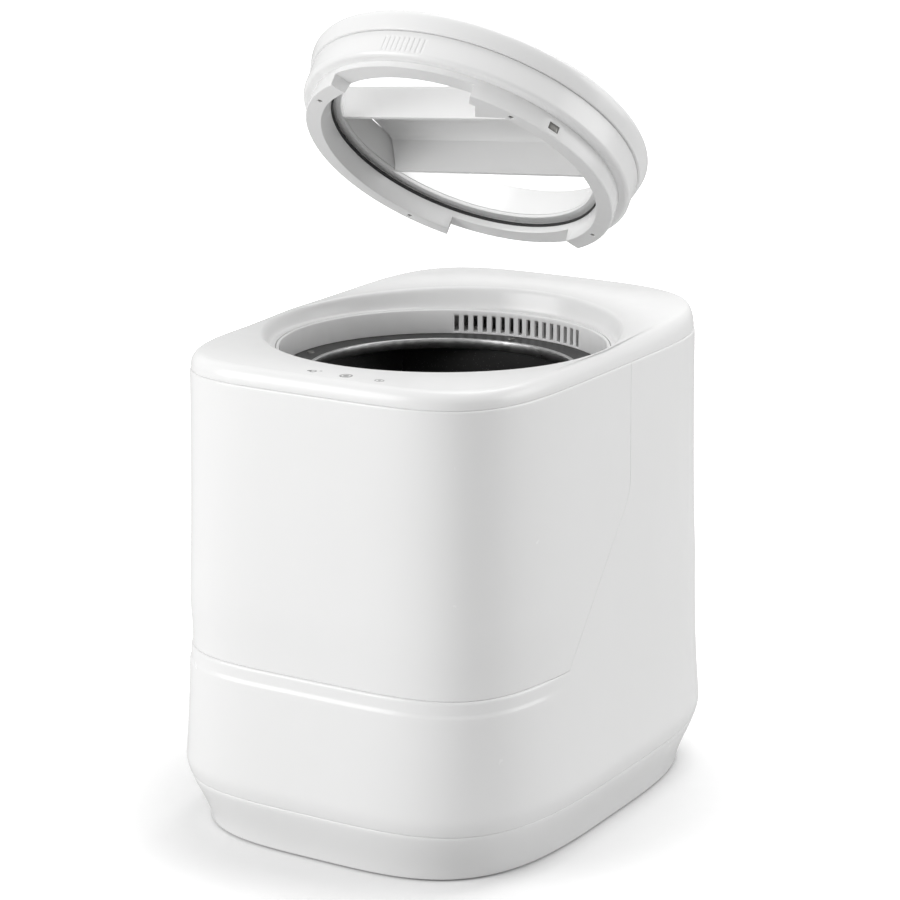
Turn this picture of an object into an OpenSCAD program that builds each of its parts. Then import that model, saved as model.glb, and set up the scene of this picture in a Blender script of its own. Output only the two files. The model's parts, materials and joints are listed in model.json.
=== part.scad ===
// Electric food waste composter: rounded white housing, round lift-off lid with a
// recessed handle bar, and a heated trough stirred by a geared shaft.
// Origin at the middle of the footprint on the floor, front towards -Y, millimetres.

/* [Body] */
// Space from each end of the trough to the side of the housing at its top
side_space = 46.5; // [44:0.5:52]
// Space from the trough to the front of the housing at its top
front_space = 86; // [78:1:96]
// Space from the trough to the back of the housing at its top, for fan, filter and motor
back_space = 110; // [100:1:122]
// How far the widest line stands out beyond the top, each side
base_swell = 16.2; // [13:0.2:18]
// Height of the widest line
swell_z = 60; // [56:1:64]
// Height over which the swell dies away
swell_fade = 120; // [100:5:140]
// How far the foot of the base stands out beyond the top, each side
base_foot = 1.5; // [-2:0.5:3]
// Corner exponent of the plan at the base
corner_base = 3.5; // [3.2:0.1:4]
// Corner exponent of the plan at the top
corner_top = 4.7; // [4.3:0.1:5]
// Wall of the plastic shells
shell_wall = 3; // [2.5:0.1:3.2]
// Height of the parting line between base tray and housing
base_seam_z = 46; // [42:1:50]
// Height of the lower edge of the front cover
front_seam_z = 164; // [158:1:172]
// Height of the bevelled band under the front cover
seam_bevel_h = 13; // [8:1:16]
// Depth of the bevelled band
seam_bevel = 1.6; // [1:0.1:2]
// Width of the parting lines between shells
seam_gap = 0.5; // [0.3:0.1:0.7]
// Where the side edge of the front cover starts, towards the back from the middle
seam_low_y = -91; // [-100:1:-80]
// How steeply that edge runs back as it climbs
seam_slope = 0.887; // [0.8:0.01:1]
// Where that edge turns upright
seam_top_y = 24; // [10:1:40]
// Height of the parting line under the top deck
deck_seam_z = 410; // [409:0.5:411]
// Height of the top deck above its parting line
deck_h = 16; // [16:0.5:18]
// How much higher the top deck is at its back edge
deck_rise = 12; // [8:0.5:13]
// Where the deck starts to climb, towards the back from the middle
rise_start_y = -110; // [-120:1:-100]
// Height of the rubber feet
foot_h = 3; // [2:0.5:5]
// Height of the rim of the base tray above the floor
rim_gap = 1; // [0.5:0.5:1.5]
// Width of that rim
rim_w = 8; // [6:0.5:10]
// Radius of the rubber feet
foot_r = 13; // [10:1:15]
// How far the feet stand in from the sides
foot_inset = 56; // [52:1:62]
// How far the base screws stand in from the sides
screw_inset = 28; // [26:1:34]
// How far the outer base screws stand in from front and back
screw_end_inset = 90; // [80:1:110]
// Thickness of the floor of the base tray
floor_t = 3; // [2.5:0.5:4]

/* [Feed opening] */
// Depth of the dished seat
recess_depth = 12; // [11:0.5:13]
// Gap round the lid in the dished seat
recess_clear = 3; // [2:0.5:3]
// Width of the shelf of the black ring inside the feed collar
rim_shelf = 25.8; // [25:0.2:27]
// Wall of the feed collar
collar_wall = 3; // [2.5:0.1:3]
// Height of the feed collar under the seat
collar_h = 22.5; // [21:0.5:24]
// Number of vent slots in the back of the collar
grille_slots = 16; // [8:1:18]
// Angle from slot to slot
grille_pitch = 3.5; // [3:0.1:4]
// Width of a vent slot
grille_slot_w = 4.2; // [3:0.2:5]
// Height of the black ring under the collar
rim_h = 8; // [6:1:9]
// How far the black ring stands back from the ends of the trough
rim_back = 0.6; // [0:0.1:1]
// Height of the bright band inside the black ring
band_h = 9; // [7:1:10]
// Diameter of the touch symbols on the deck
icon_d = 7; // [5:0.5:9]
// Distance from one touch symbol to the next
icon_pitch = 32.5; // [28:0.5:36]
// Middle of the row of touch symbols, left to right
icon_x = 21; // [15:1:25]
// Distance of the symbols from the front of the deck
icon_inset = 20; // [18:1:24]

/* [Chamber] */
// Inner length of the trough along the shaft
chamber_len = 236; // [220:1:260]
// How far the radius of the round bottom goes past half that length
chamber_extra = 2; // [1:0.5:4]
// Height of the temperature sensor above the shaft
sensor_up = 122; // [100:2:130]
// Sheet thickness of the trough
chamber_wall = 2; // [1.5:0.1:2.5]
// End plate thickness of the trough
end_plate_t = 3; // [2.5:0.5:3.5]
// Space between the floor of the base tray and the trough
under_space = 60; // [54:1:66]
// Width of the flange round the mouth of the trough
flange_w = 8; // [6:1:8]
// Half angle of the heater mat under the trough
heater_half_angle = 45; // [30:5:55]
// Thickness of the heater mat
heater_t = 2; // [1.5:0.5:3]
// Distance of each cradle plate from the end of the trough
cradle_inset = 18; // [14:1:24]
// Half length of the foot of a cradle plate, along the shaft
cradle_foot = 12; // [8:1:14]

/* [Mixer] */
// Radius of the mixing shaft
shaft_r = 8; // [7:0.5:9]
// Gap between the paddles and the round bottom
paddle_gap = 8; // [5:1:12]
// Number of paddles
paddle_count = 5; // [3:1:5]
// Gap between the outer paddles and the ends of the trough
paddle_end_gap = 10.5; // [8:0.5:14]
// Running clearance of shafts in their bores
run_gap = 0.06; // [0.03:0.01:0.09]
// Radius of the bearing housings
bearing_r = 24; // [20:1:26]
// Length of the bearing housings
bearing_len = 8; // [6:1:9]

/* [Drive] */
// Module of the gears
gear_module = 2; // [1.95:0.05:2]
// Teeth of the gear on the mixing shaft
shaft_teeth = 72; // [70:1:73]
// Teeth of the idler gear
idler_teeth = 36; // [34:1:36]
// Teeth of the motor pinion
pinion_teeth = 23; // [21:1:25]
// Face width of the gears
gear_w = 10; // [8:1:12]
// Play between meshing teeth, and extra distance between gear centres
gear_play = 0.15; // [0.1:0.05:0.25]
// Thickness of the steel drive plate
drive_plate_t = 3; // [2.5:0.5:4]
// Half height of the drive plate
drive_plate_half = 34; // [30:1:37]
// Radius of the drive plate round the bearing
drive_plate_r = 46; // [38:1:50]
// Radius of the idler axle and the motor output shaft
axle_r = 5; // [4:0.5:6]
// Radius of the gearmotor
motor_r = 36; // [30:1:38]
// Length of the gearmotor
motor_len = 90; // [80:1:95]

/* [Electronics] */
// Depth of the main circuit board
board_d = 160; // [140:2:170]
// Height of the main circuit board
board_h = 150; // [130:2:160]

/* [Air path] */
// Middle of the fan and filter stack, left to right
air_x = -42; // [-44:1:-40]
// Gap between the fan frame and the back of the housing
fan_back_gap = 7; // [5:0.5:9]
// Side of the square fan frame
fan_size = 70; // [64:1:70]
// Thickness of the fan frame
fan_t = 25; // [20:1:26]
// Height of the duct between the collar and the fan
duct_drop = 38; // [34:1:44]
// Number of fan blades
fan_blades = 7; // [5:1:9]
// Radius of the filter canister
filter_r = 33; // [28:1:34]
// Height of the filter canister
filter_h = 118; // [100:1:125]
// Wall of the ducts
duct_wall = 2; // [1.5:0.1:2.5]

/* [Rear panel] */
// Lower edge of the opening in the back of the housing
panel_low_z = 90; // [86:1:94]
// Thickness of the rear panel
panel_t = 2.5; // [2:0.1:3]
// Middle of the power inlet and switch, left to right
inlet_x = 32; // [30:1:34]
// Height of the middle of the power inlet
inlet_z = 110; // [108:1:112]
// Height of the middle of the power switch
switch_z = 143; // [141:1:144]
// Tilt of the switch rocker either way
rocker_tilt = 8; // [5:1:10]

/* [Lid] */
// Gap between the skirt of the lid and the feed collar
skirt_clear = 2.2; // [2:0.1:3]
// Width of the skirt, from the clear window out
skirt_wall = 15.2; // [14:0.2:16]
// How far the top of the skirt reaches in under the clear window
skirt_lap = 2.5; // [2:0.1:3.5]
// How much wider the inside of the skirt is at its foot, each side
skirt_draft = 2.7; // [1:0.1:4]
// How far the seal reaches in beyond the skirt
gasket_lip = 1.3; // [1:0.1:2.6]
// How far the sensor tab at the foot of the skirt reaches in
tab_reach = 19; // [16:0.5:22]
// Thickness of the sensor tab
tab_t = 3; // [2:0.5:4]
// How far the middle ring stands out beyond the skirt
ring_step = 9.3; // [9:0.1:10]
// How far the cap stands out beyond the middle ring
cap_step = 5.5; // [5:0.5:6]
// Height of the skirt below the seat line
skirt_h = 17; // [16:0.5:18]
// Height of the middle ring above the skirt
ring_h = 24.5; // [23:0.5:26]
// Height of the side of the cap
cap_h = 18; // [17:0.5:20]
// Rise of the domed top above the side of the cap
dome_h = 9; // [8:0.5:11]
// Wall of the lid pieces
lid_wall = 3; // [2.5:0.1:3.2]
// Thickness of the clear window
window_t = 2.5; // [2:0.1:3]
// Half angle of the two notches in the skirt
notch_half_angle = 29; // [25:1:31]
// Height of the notches
notch_h = 11.3; // [10:0.1:12]
// Half width of the handle bar between the two wells, at its foot
bar_half = 45.5; // [40:0.5:47]
// Turn of the bar and the cap against the notches of the skirt
bar_turn = -6.5; // [-10:0.5:0]
// Draft of each side of the bar, from its foot to its top
bar_draft = 3; // [2:0.5:5]
// How far the foot of the well wall stands inside the edge of the window
well_inset = 9.5; // [8:0.5:11]
// How much further out the well wall is at its top
well_draft = 15.5; // [13:0.5:17]
// Gap between the clear window and the cap
window_gap = 0.5; // [0.4:0.1:1]
// Number of grooves in the middle ring
ring_slots = 9; // [5:1:11]
// Angle from groove to groove
ring_slot_pitch = 1.9; // [1.7:0.1:2.2]
// Depth of those grooves
ring_slot_depth = 1.2; // [0.8:0.1:2]
// How far the lid stands open about its axis of travel
lid_open_angle = 40; // [30:1:42]
// Axis of travel of the lid, behind the dished seat
travel_back = 84; // [80:1:88]
// Axis of travel of the lid, above the deck
travel_up = 21; // [18:1:24]
// Gap between lid and seat when the lid is on
seat_gap = 0.3; // [0.2:0.05:0.4]
// Stroke of the lock bolts
bolt_stroke = 6; // [5:0.5:6]
// Height of the lock bolts above the foot of the skirt
bolt_low = 5; // [4:0.5:8]
// How far the lock bolts sit in front of the middle of the lid, as an angle
bolt_angle = 30; // [27:1:33]

/* [Hidden] */
$fn = 96;

touch = 0.05;
far = 400;
half_cols = 32;
cols = 2 * half_cols;
corner_blend_z = 200;
chamber_r = chamber_len / 2 + chamber_extra;
end_x = chamber_len / 2 + end_plate_t;
trough_out_r = chamber_r + chamber_wall;
body_w = 2 * (end_x + side_space);
body_d = 2 * trough_out_r + front_space + back_space;
mouth_y = (front_space - back_space) / 2;
rim_r = chamber_len / 2 + rim_back;
collar_r = rim_r + rim_shelf;
skirt_r = collar_r - skirt_clear;
window_r = skirt_r - skirt_wall;
ring_r = skirt_r + ring_step;
cap_r = ring_r + cap_step;
recess_r = cap_r + recess_clear;
well_low_r = window_r - well_inset;
well_top_r = well_low_r + well_draft;
retainer_in = well_low_r;
deck_z = deck_seam_z + deck_h;
seat_z = deck_z - recess_depth;
collar_low_z = seat_z - collar_h;
rim_low_z = collar_low_z - rim_h;
collar_out_r = collar_r + collar_wall;
trough_top_z = rim_low_z;
floor_z = foot_h + floor_t;
shaft_z = floor_z + under_space + trough_out_r;
paddle_reach = chamber_r - paddle_gap;
paddle_step = (chamber_len - 2 * paddle_end_gap) / paddle_count;
blade_w = paddle_step - 1;
cradle_x = chamber_len / 2 - cradle_inset;
cradle_half = trough_out_r - 22;
heater_half_len = cradle_x - cradle_foot;
gear_x = end_x + bearing_len + 5;
shaft_gear_r = gear_module * shaft_teeth / 2;
idler_r = gear_module * idler_teeth / 2;
pinion_r = gear_module * pinion_teeth / 2;
idler_y = mouth_y + shaft_gear_r + idler_r + gear_play;
motor_y = idler_y + idler_r + pinion_r + gear_play;
air_y = body_d / 2 - shell_wall - fan_back_gap - fan_size / 2;
fan_top_z = collar_low_z - duct_drop;
fan_low_z = fan_top_z - fan_t;
filter_top_z = fan_low_z - 2;
filter_low_z = filter_top_z - filter_h;
filter_cap_h = 4;
lid_y = mouth_y;
lid_seat_z = seat_z + seat_gap - skirt_h;
travel_y = mouth_y + recess_r + travel_back;
travel_z = deck_z + travel_up;
cap_low = skirt_h + ring_h + 0.5;
cap_edge = cap_low + cap_h;
gasket_h = 3;
window_low = skirt_h + gasket_h + touch;
retainer_h = 3;
well_low = window_low + window_t + touch + retainer_h + window_gap;
bar_low = window_low + window_t + window_gap;
white = "whitesmoke";

function blend(a, b, s) = a + (b - a) * s;
function span(a, length) = [a, a + length];
function smooth(s) = let (c = max(0, min(1, s))) c * c * (3 - 2 * c);
function signed_pow(v, p) = sign(v) * pow(abs(v), p);

// How far the wall stands out beyond the top size at height z
function flare(z) = z < swell_z
    ? base_swell - (base_swell - base_foot) * smooth((swell_z - z) / swell_z)
    : base_swell * exp(-(z - swell_z) / swell_fade);
function corner_n(z) = blend(corner_base, corner_top, min(1, z / corner_blend_z));

// A point of the plan outline, a superellipse, at angle t and height z
function plan_point(t, z, inset) =
    let (p = 2 / corner_n(z))
    [(body_w / 2 + flare(z) - inset) * signed_pow(cos(t), p),
     (body_d / 2 + flare(z) - inset) * signed_pow(sin(t), p), z];
function plan_ring(z, inset, at_z) =
    [for (i = [0:cols - 1]) let (q = plan_point(i * 360 / cols, z, inset)) [q[0], q[1], at_z]];
function circle_ring(r, z) =
    [for (i = [0:cols - 1]) [r * cos(i * 360 / cols), mouth_y + r * sin(i * 360 / cols), z]];

// Side edge of the front cover, as a place on Y and as an angle of the plan outline
function seam_y(z, gap) = min(seam_low_y + seam_slope * (max(z, front_seam_z) - front_seam_z),
                              seam_top_y) + gap;
function seam_t(z, gap) =
    let (v = seam_y(z, gap) / (body_d / 2 + flare(z))) sign(v) * asin(pow(abs(v), corner_n(z) / 2));
function column_t(i, z, gap) =
    let (s = seam_t(z, gap))
    i <= half_cols ? s + (180 - 2 * s) * i / half_cols
                   : 180 - s + (180 + 2 * s) * (i - half_cols) / half_cols;
// Inset of the bevelled band, only in front of the seam
function bevel_at(i, z) = i > half_cols - 1 && z <= front_seam_z + touch
    ? seam_bevel * smooth((z - front_seam_z + seam_bevel_h) / seam_bevel_h)
        * smooth(sin(180 * (i - half_cols) / half_cols) * 4)
    : 0;

// A closed skin between two grids of points, with the cells left open where keep is false
module skin(outer, inner, rows, columns, closed, keep) {
    n = closed ? columns : columns + 1;
    function id(i, j, k) = k * (rows + 1) * n + j * n + i % n;
    function has(i, j) = j < 0 || j >= rows ? false
        : closed ? keep((i + columns) % columns, j)
        : i < 0 || i >= columns ? false : keep(i, j);
    function quad(a, b, c, d) = [[a, b, c], [a, c, d]];
    quads = [for (j = [0:rows - 1]) for (i = [0:columns - 1]) if (has(i, j)) each concat(
        quad(id(i, j, 0), id(i, j + 1, 0), id(i + 1, j + 1, 0), id(i + 1, j, 0)),
        quad(id(i, j, 1), id(i + 1, j, 1), id(i + 1, j + 1, 1), id(i, j + 1, 1)),
        has(i, j - 1) ? [] : quad(id(i, j, 0), id(i + 1, j, 0), id(i + 1, j, 1), id(i, j, 1)),
        has(i, j + 1) ? []
            : quad(id(i + 1, j + 1, 0), id(i, j + 1, 0), id(i, j + 1, 1), id(i + 1, j + 1, 1)),
        has(i - 1, j) ? [] : quad(id(i, j + 1, 0), id(i, j, 0), id(i, j, 1), id(i, j + 1, 1)),
        has(i + 1, j) ? []
            : quad(id(i + 1, j, 0), id(i + 1, j + 1, 0), id(i + 1, j + 1, 1), id(i + 1, j, 1)))];
    polyhedron(points = concat([for (row = outer) each row], [for (row = inner) each row]),
               faces = quads);
}

// A skin through a list of rings: a closed loop of rings, or one with flat ends
module ring_skin(rings, looped) {
    n = len(rings[0]);
    m = len(rings);
    function id(i, k) = (k % m) * n + i % n;
    sides = [for (k = [0:looped ? m - 1 : m - 2]) for (i = [0:n - 1])
        each [[id(i, k), id(i, k + 1), id(i + 1, k + 1)], [id(i, k), id(i + 1, k + 1), id(i + 1, k)]]];
    ends = looped ? [] : [for (i = [1:n - 2])
        each [[id(0, 0), id(i, 0), id(i + 1, 0)], [id(0, m - 1), id(i + 1, m - 1), id(i, m - 1)]]];
    polyhedron(points = [for (r = rings) each r], faces = concat(sides, ends));
}

// Extrude a flat shape, drawn as Y across and Z up, along X from x0
module along_x(x0, length) translate([x0, 0, 0]) rotate([90, 0, 90]) linear_extrude(length) children();
module tube(r_out, r_in, z0, h) translate([0, 0, z0]) linear_extrude(h) difference() {
    circle(r_out);
    circle(r_in);
}
module disc_x(x0, length, r, y, z) along_x(x0, length) translate([y, z]) circle(r);
module box(x, y, z) translate([x[0], y[0], z[0]]) cube([x[1] - x[0], y[1] - y[0], z[1] - z[0]]);

/* Housing */

module base_tray() color(white) {
    zs = [rim_gap, rim_gap + 1.5, foot_h + 6, foot_h + 14, 26, 36, base_seam_z];
    under = [plan_ring(foot_h, rim_w + 1, foot_h), plan_ring(rim_gap, rim_w, rim_gap)];
    outer = [for (z = zs) plan_ring(z, z == rim_gap ? 1.2 : 0, z)];
    inner = [for (z = [base_seam_z, 30, 14, floor_z]) plan_ring(z, shell_wall + (z == floor_z ? 2 : 0), z)];
    ring_skin(concat(under, outer, inner), false);
}

module feet() color("dimgray") for (x = [-1, 1]) for (y = [-1, 1])
    translate([x * (body_w / 2 - foot_inset), y * (body_d / 2 - foot_inset - 6), 0])
        cylinder(h = foot_h, r = foot_r);

module base_screws() color("silver") for (x = [-1, 1]) for (y = [-1, 0, 1])
    translate([x * (body_w / 2 - screw_inset), y * (body_d / 2 - screw_end_inset), foot_h - 1.4]) cylinder(h = 1.4, r = 4);

shell_rows = [base_seam_z + seam_gap, 52, swell_z, 72, panel_low_z, 115, 140,
              front_seam_z - seam_bevel_h, front_seam_z, 200, 240, 285, 305, 360, deck_seam_z - seam_gap];
function row_of(z) = [for (j = [0:len(shell_rows) - 1]) if (shell_rows[j] == z) j][0];
module body_shell() {
    rows = len(shell_rows) - 1;
    function grid(wall) = [for (z = shell_rows) [for (i = [0:cols - 1])
        plan_point(column_t(i, z, seam_gap / 2), z, wall + bevel_at(i, z))]];
    front_row = row_of(front_seam_z);
    panel_row = row_of(panel_low_z);
    in_panel = function (i, j) abs(i - half_cols / 2 + 0.5) < 1 && j >= panel_row && j < front_row;
    keep = function (i, j) !in_panel(i, j) && (i < half_cols || j < front_row);
    color(white) skin(grid(0), grid(shell_wall), rows, cols, true, keep);
}

module front_cover() {
    zs = concat([front_seam_z + seam_gap],
                [for (z = shell_rows) if (z > front_seam_z + 1) z]);
    step = 0.5;
    function grid(wall) = [for (z = zs) [for (i = [half_cols:cols])
        plan_point(column_t(i, z, -seam_gap / 2), z, wall + step)]];
    color(white) skin(grid(0), grid(shell_wall - step), len(zs) - 1, half_cols, false, function (i, j) true);
}

// How far the top of the deck has climbed at a place on X and Y, and a ring of its points moved up with it
function deck_climb(x, y) = deck_rise * (1 - 0.22 * pow(x / (body_w / 2), 2))
    * pow(max(0, min(1, (y - rise_start_y) / (body_d / 2 - rise_start_y))), 1.6);
function climbing(ring) = [for (q = ring)
    [q[0], q[1], q[2] + deck_climb(q[0], q[1]) * smooth((q[2] - seat_z) / recess_depth)]];

module deck() color(white) {
    top = deck_seam_z;
    wall = shell_wall;
    lip_h = 10;
    lip_in = wall + 0.3;
    edge = [[0, 0], [3.5, 0], [7, 0.7], [10, 2], [12.5, 3.9], [14.3, 6], [15.4, 7.6]];
    edge_k = deck_h / 16;
    outside = [for (e = edge) plan_ring(top, e[1], top + e[0] * edge_k)];
    bowl = [for (e = [[0, 0], [-1.6, -0.5], [-3.4, -2.4], [-5, -6], [-6.4, -9.6], [-8.6, -11.8]])
        circle_ring(recess_r + e[0], deck_z + e[1] * recess_depth / 12)];
    inside_r = collar_out_r + 0.3;
    seat = [circle_ring(inside_r, seat_z), circle_ring(inside_r, seat_z - wall + 0.2)];
    under = [circle_ring(recess_r - 3.4, seat_z - wall + 0.2), circle_ring(recess_r - 1.4, seat_z + 1),
             circle_ring(recess_r + 0.4, seat_z + 6), circle_ring(recess_r + 1.6, deck_z - 3.6)];
    lip = [plan_ring(top, lip_in + 2.7, deck_z - 3.9), plan_ring(top, lip_in + 2.7, top + 4),
           plan_ring(top, lip_in + 2.5, top - lip_h), plan_ring(top, lip_in, top - lip_h),
           plan_ring(top, lip_in, top)];
    ring_skin([for (ring = concat(outside, bowl, seat, under, lip)) climbing(ring)], true);
}

module feed_collar() color(white) difference() {
    translate([0, mouth_y, 0]) rotate_extrude() polygon([
        [collar_r, collar_low_z + touch], [collar_out_r, collar_low_z + touch],
        [collar_out_r, seat_z - shell_wall - 1.4], [recess_r - 4.5, seat_z - shell_wall - 1.4],
        [recess_r - 4.5, seat_z - shell_wall + 0.15], [collar_out_r, seat_z - shell_wall + 0.15],
        [collar_out_r, seat_z - 0.6], [collar_out_r - 0.7, seat_z], [collar_r + 0.9, seat_z],
        [collar_r, seat_z - 0.9]]);
    for (k = [0:grille_slots - 1])
        translate([0, mouth_y, collar_low_z + 2.2])
            rotate([0, 0, 90 + (k - (grille_slots - 1) / 2) * grille_pitch])
                translate([collar_r - 3, -grille_slot_w / 2, 0])
                    cube([collar_wall + 6, grille_slot_w, collar_h - shell_wall - 4.2]);
    for (a = [-bolt_angle, 180 + bolt_angle])
        translate([0, mouth_y, lid_seat_z + bolt_low - 0.6]) rotate([0, 0, a])
            translate([collar_r - 3, -bolt_w / 2 - 0.6, 0]) cube([collar_wall + 6, bolt_w + 1.2, bolt_h + 1.2]);
}

module rounded_plate(w, d, r) {
    square([w - 2 * r, d], center = true);
    square([w, d - 2 * r], center = true);
    for (x = [-1, 1]) for (y = [-1, 1]) translate([x * (w / 2 - r), y * (d / 2 - r)]) circle(r);
}

rim_plate_w = 2 * (end_x + flange_w);
rim_plate_d = 2 * (trough_out_r + flange_w);
module chamber_rim() color([0.05, 0.05, 0.05]) difference() {
    translate([0, mouth_y, rim_low_z + touch]) union() {
        linear_extrude(rim_h / 2) rounded_plate(rim_plate_w, rim_plate_d, 20);
        cylinder(h = rim_h - touch, r = collar_out_r);
    }
    translate([0, mouth_y, rim_low_z - 1]) cylinder(h = rim_h + 2, r = rim_r);
}

module rim_band() color("silver") translate([0, mouth_y, 0]) rotate_extrude() polygon([
    [rim_r - 1.4, collar_low_z + 1.2 - band_h], [rim_r - 0.1, collar_low_z + 1.2 - band_h],
    [rim_r - 0.1, collar_low_z + touch], [rim_r + 3, collar_low_z + touch],
    [rim_r + 3, collar_low_z + 0.9], [rim_r - 0.4, collar_low_z + 1.2], [rim_r - 1.4, collar_low_z + 0.9]]);

module rim_screws() color("gainsboro") for (a = [3.5, 93.5, 183.5, 273.5])
    translate([0, mouth_y, collar_low_z + touch]) rotate([0, 0, a]) translate([collar_r - 9, 0, 0])
        cylinder(h = 1.5, r1 = 3.6, r2 = 2.6);

// Height of the deck top a given distance back from its front edge
function deck_top(inset) = blend(deck_seam_z + 15.4 * deck_h / 16, deck_z,
    (inset - 7.6) / (body_d / 2 + flare(deck_seam_z) - 7.6 - recess_r + mouth_y));
module touch_icons() color("gray") for (k = [-1, 0, 1])
    translate([icon_x + k * icon_pitch, -body_d / 2 + icon_inset, deck_top(icon_inset) + 0.12])
        cylinder(h = 0.25, d = icon_d);

module touch_board() color("darkgreen") {
    y0 = -body_d / 2 + icon_inset - 12;
    z0 = deck_z - 6.2;
    box([icon_x - icon_pitch - 14, icon_x + icon_pitch + 14], [y0, y0 + 26], [z0, z0 + 1.6]);
    for (k = [-1, 0, 1]) translate([icon_x + k * icon_pitch, y0 + 12, z0 + 1.6]) cylinder(h = 0.4, r = 5);
}

/* Chamber */

module trough_shape(r, top) {
    circle(r);
    translate([-r, 0]) square([2 * r, top]);
}
module chamber() color([0.16, 0.16, 0.17]) difference() {
    union() {
        along_x(-end_x, 2 * end_x) translate([mouth_y, shaft_z])
            trough_shape(trough_out_r, trough_top_z - shaft_z);
        box([-rim_plate_w / 2, rim_plate_w / 2],
            [mouth_y - rim_plate_d / 2, mouth_y + rim_plate_d / 2], [trough_top_z - 2, trough_top_z]);
    }
    along_x(-chamber_len / 2, chamber_len) translate([mouth_y, shaft_z])
        trough_shape(chamber_r, trough_top_z - shaft_z + 5);
    disc_x(-end_x - 5, 2 * end_x + 10, 13, mouth_y, shaft_z);
}

module chamber_cradle() color("slategray") for (s = [-1, 1]) {
    difference() {
        along_x(s * cradle_x - 1.5, 3) translate([mouth_y - cradle_half, floor_z])
            square([2 * cradle_half, under_space + 20]);
        disc_x(s * cradle_x - 5, 10, trough_out_r + touch, mouth_y, shaft_z);
    }
    box([s * cradle_x - cradle_foot, s * cradle_x + cradle_foot],
        [mouth_y - cradle_half, mouth_y + cradle_half], [floor_z, floor_z + 2.5]);
}

module heater_mat() color("saddlebrown") along_x(-heater_half_len, 2 * heater_half_len)
    translate([mouth_y, shaft_z]) intersection() {
        difference() {
            circle(trough_out_r + heater_t);
            circle(trough_out_r + touch);
        }
        polygon([[0, 0], far / 2 * [-sin(heater_half_angle), -cos(heater_half_angle)],
                 [0, -far], far / 2 * [sin(heater_half_angle), -cos(heater_half_angle)]]);
    }

module temp_sensor() color("gainsboro")
    translate([chamber_len / 4, mouth_y + trough_out_r + touch, shaft_z + sensor_up]) {
        translate([-9, 0, -7]) cube([18, 2, 14]);
        rotate([-90, 0, 0]) cylinder(h = 14, r = 4);
    }

module shaft_seals() color([0.1, 0.1, 0.1]) for (s = [-1, 1]) translate([s * (chamber_len / 2 - 2), 0, 0])
    difference() {
        disc_x(-2 + touch, 4 - 2 * touch, 18, mouth_y, shaft_z);
        disc_x(-3, 6, shaft_r + 0.3, mouth_y, shaft_z);
    }

// Flanged bearing with its snout in the end plate; side is -1 or 1
module bearing(side) color("gray") difference() {
    union() {
        disc_x(side > 0 ? end_x : -end_x - bearing_len, bearing_len, bearing_r, mouth_y, shaft_z);
        disc_x(side > 0 ? end_x - end_plate_t + touch : -end_x - 1, end_plate_t + 1 - touch, 12.95,
               mouth_y, shaft_z);
    }
    disc_x(-end_x - 20, 2 * end_x + 40, shaft_r + run_gap, mouth_y, shaft_z);
}
module bearing_left() bearing(-1);
module bearing_right() bearing(1);

/* Mixer and drive */

shaft_left = -end_x - bearing_len - 4;
shaft_right = gear_x + gear_w + 5;
module mixing_shaft() color("silver")
    disc_x(shaft_left, shaft_right - shaft_left, shaft_r, mouth_y, shaft_z);

module mixing_paddles() color("silver") for (k = [0:paddle_count - 1])
    translate([(k - (paddle_count - 1) / 2) * paddle_step, mouth_y, shaft_z]) rotate([k * 360 / 5 + 20, 0, 0]) {
        difference() {
            union() {
                disc_x(-8, 16, shaft_r + 6, 0, 0);
                translate([-7, -3, shaft_r + 2]) cube([14, 6, paddle_reach - shaft_r - 14]);
            }
            disc_x(-9, 18, shaft_r + 0.03, 0, 0);
        }
        translate([0, 0, paddle_reach - 12.5]) rotate([0, 0, 22]) intersection() {
            translate([-blade_w / 2, -4, -12]) cube([blade_w, 8, 24]);
            rotate([0, 0, -22]) translate([0, 0, 12.5 - paddle_reach]) disc_x(-40, 80, paddle_reach, 0, 0);
        }
    }

// Involute spur gear outline with its first tooth centred on the first axis
function inv_angle(rb, r) = let (a = acos(min(1, rb / r))) tan(a) - a * PI / 180;
function tooth_half(teeth, r) =
    let (rp = gear_module * teeth / 2, rb = rp * cos(20), half = PI * gear_module / 4 - gear_play / 2)
    (half / rp + inv_angle(rb, rp) - inv_angle(rb, r)) * 180 / PI;
function gear_points(teeth, phase) =
    let (rp = gear_module * teeth / 2, root = rp - 1.2 * gear_module, tip = rp + 0.9 * gear_module,
         radii = [root, rp - 0.4 * gear_module, rp + 0.3 * gear_module, tip])
    [for (k = [0:teeth - 1]) let (a = phase + k * 360 / teeth) each concat(
        [for (r = radii) let (h = tooth_half(teeth, r)) r * [cos(a - h), sin(a - h)]],
        [for (j = [3:-1:0]) let (r = radii[j], h = tooth_half(teeth, r)) r * [cos(a + h), sin(a + h)]])];
idler_phase = 180 + 180 / idler_teeth;
pinion_phase = 180 + (idler_teeth % 2 == 1 ? 180 / pinion_teeth : 0);

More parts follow.
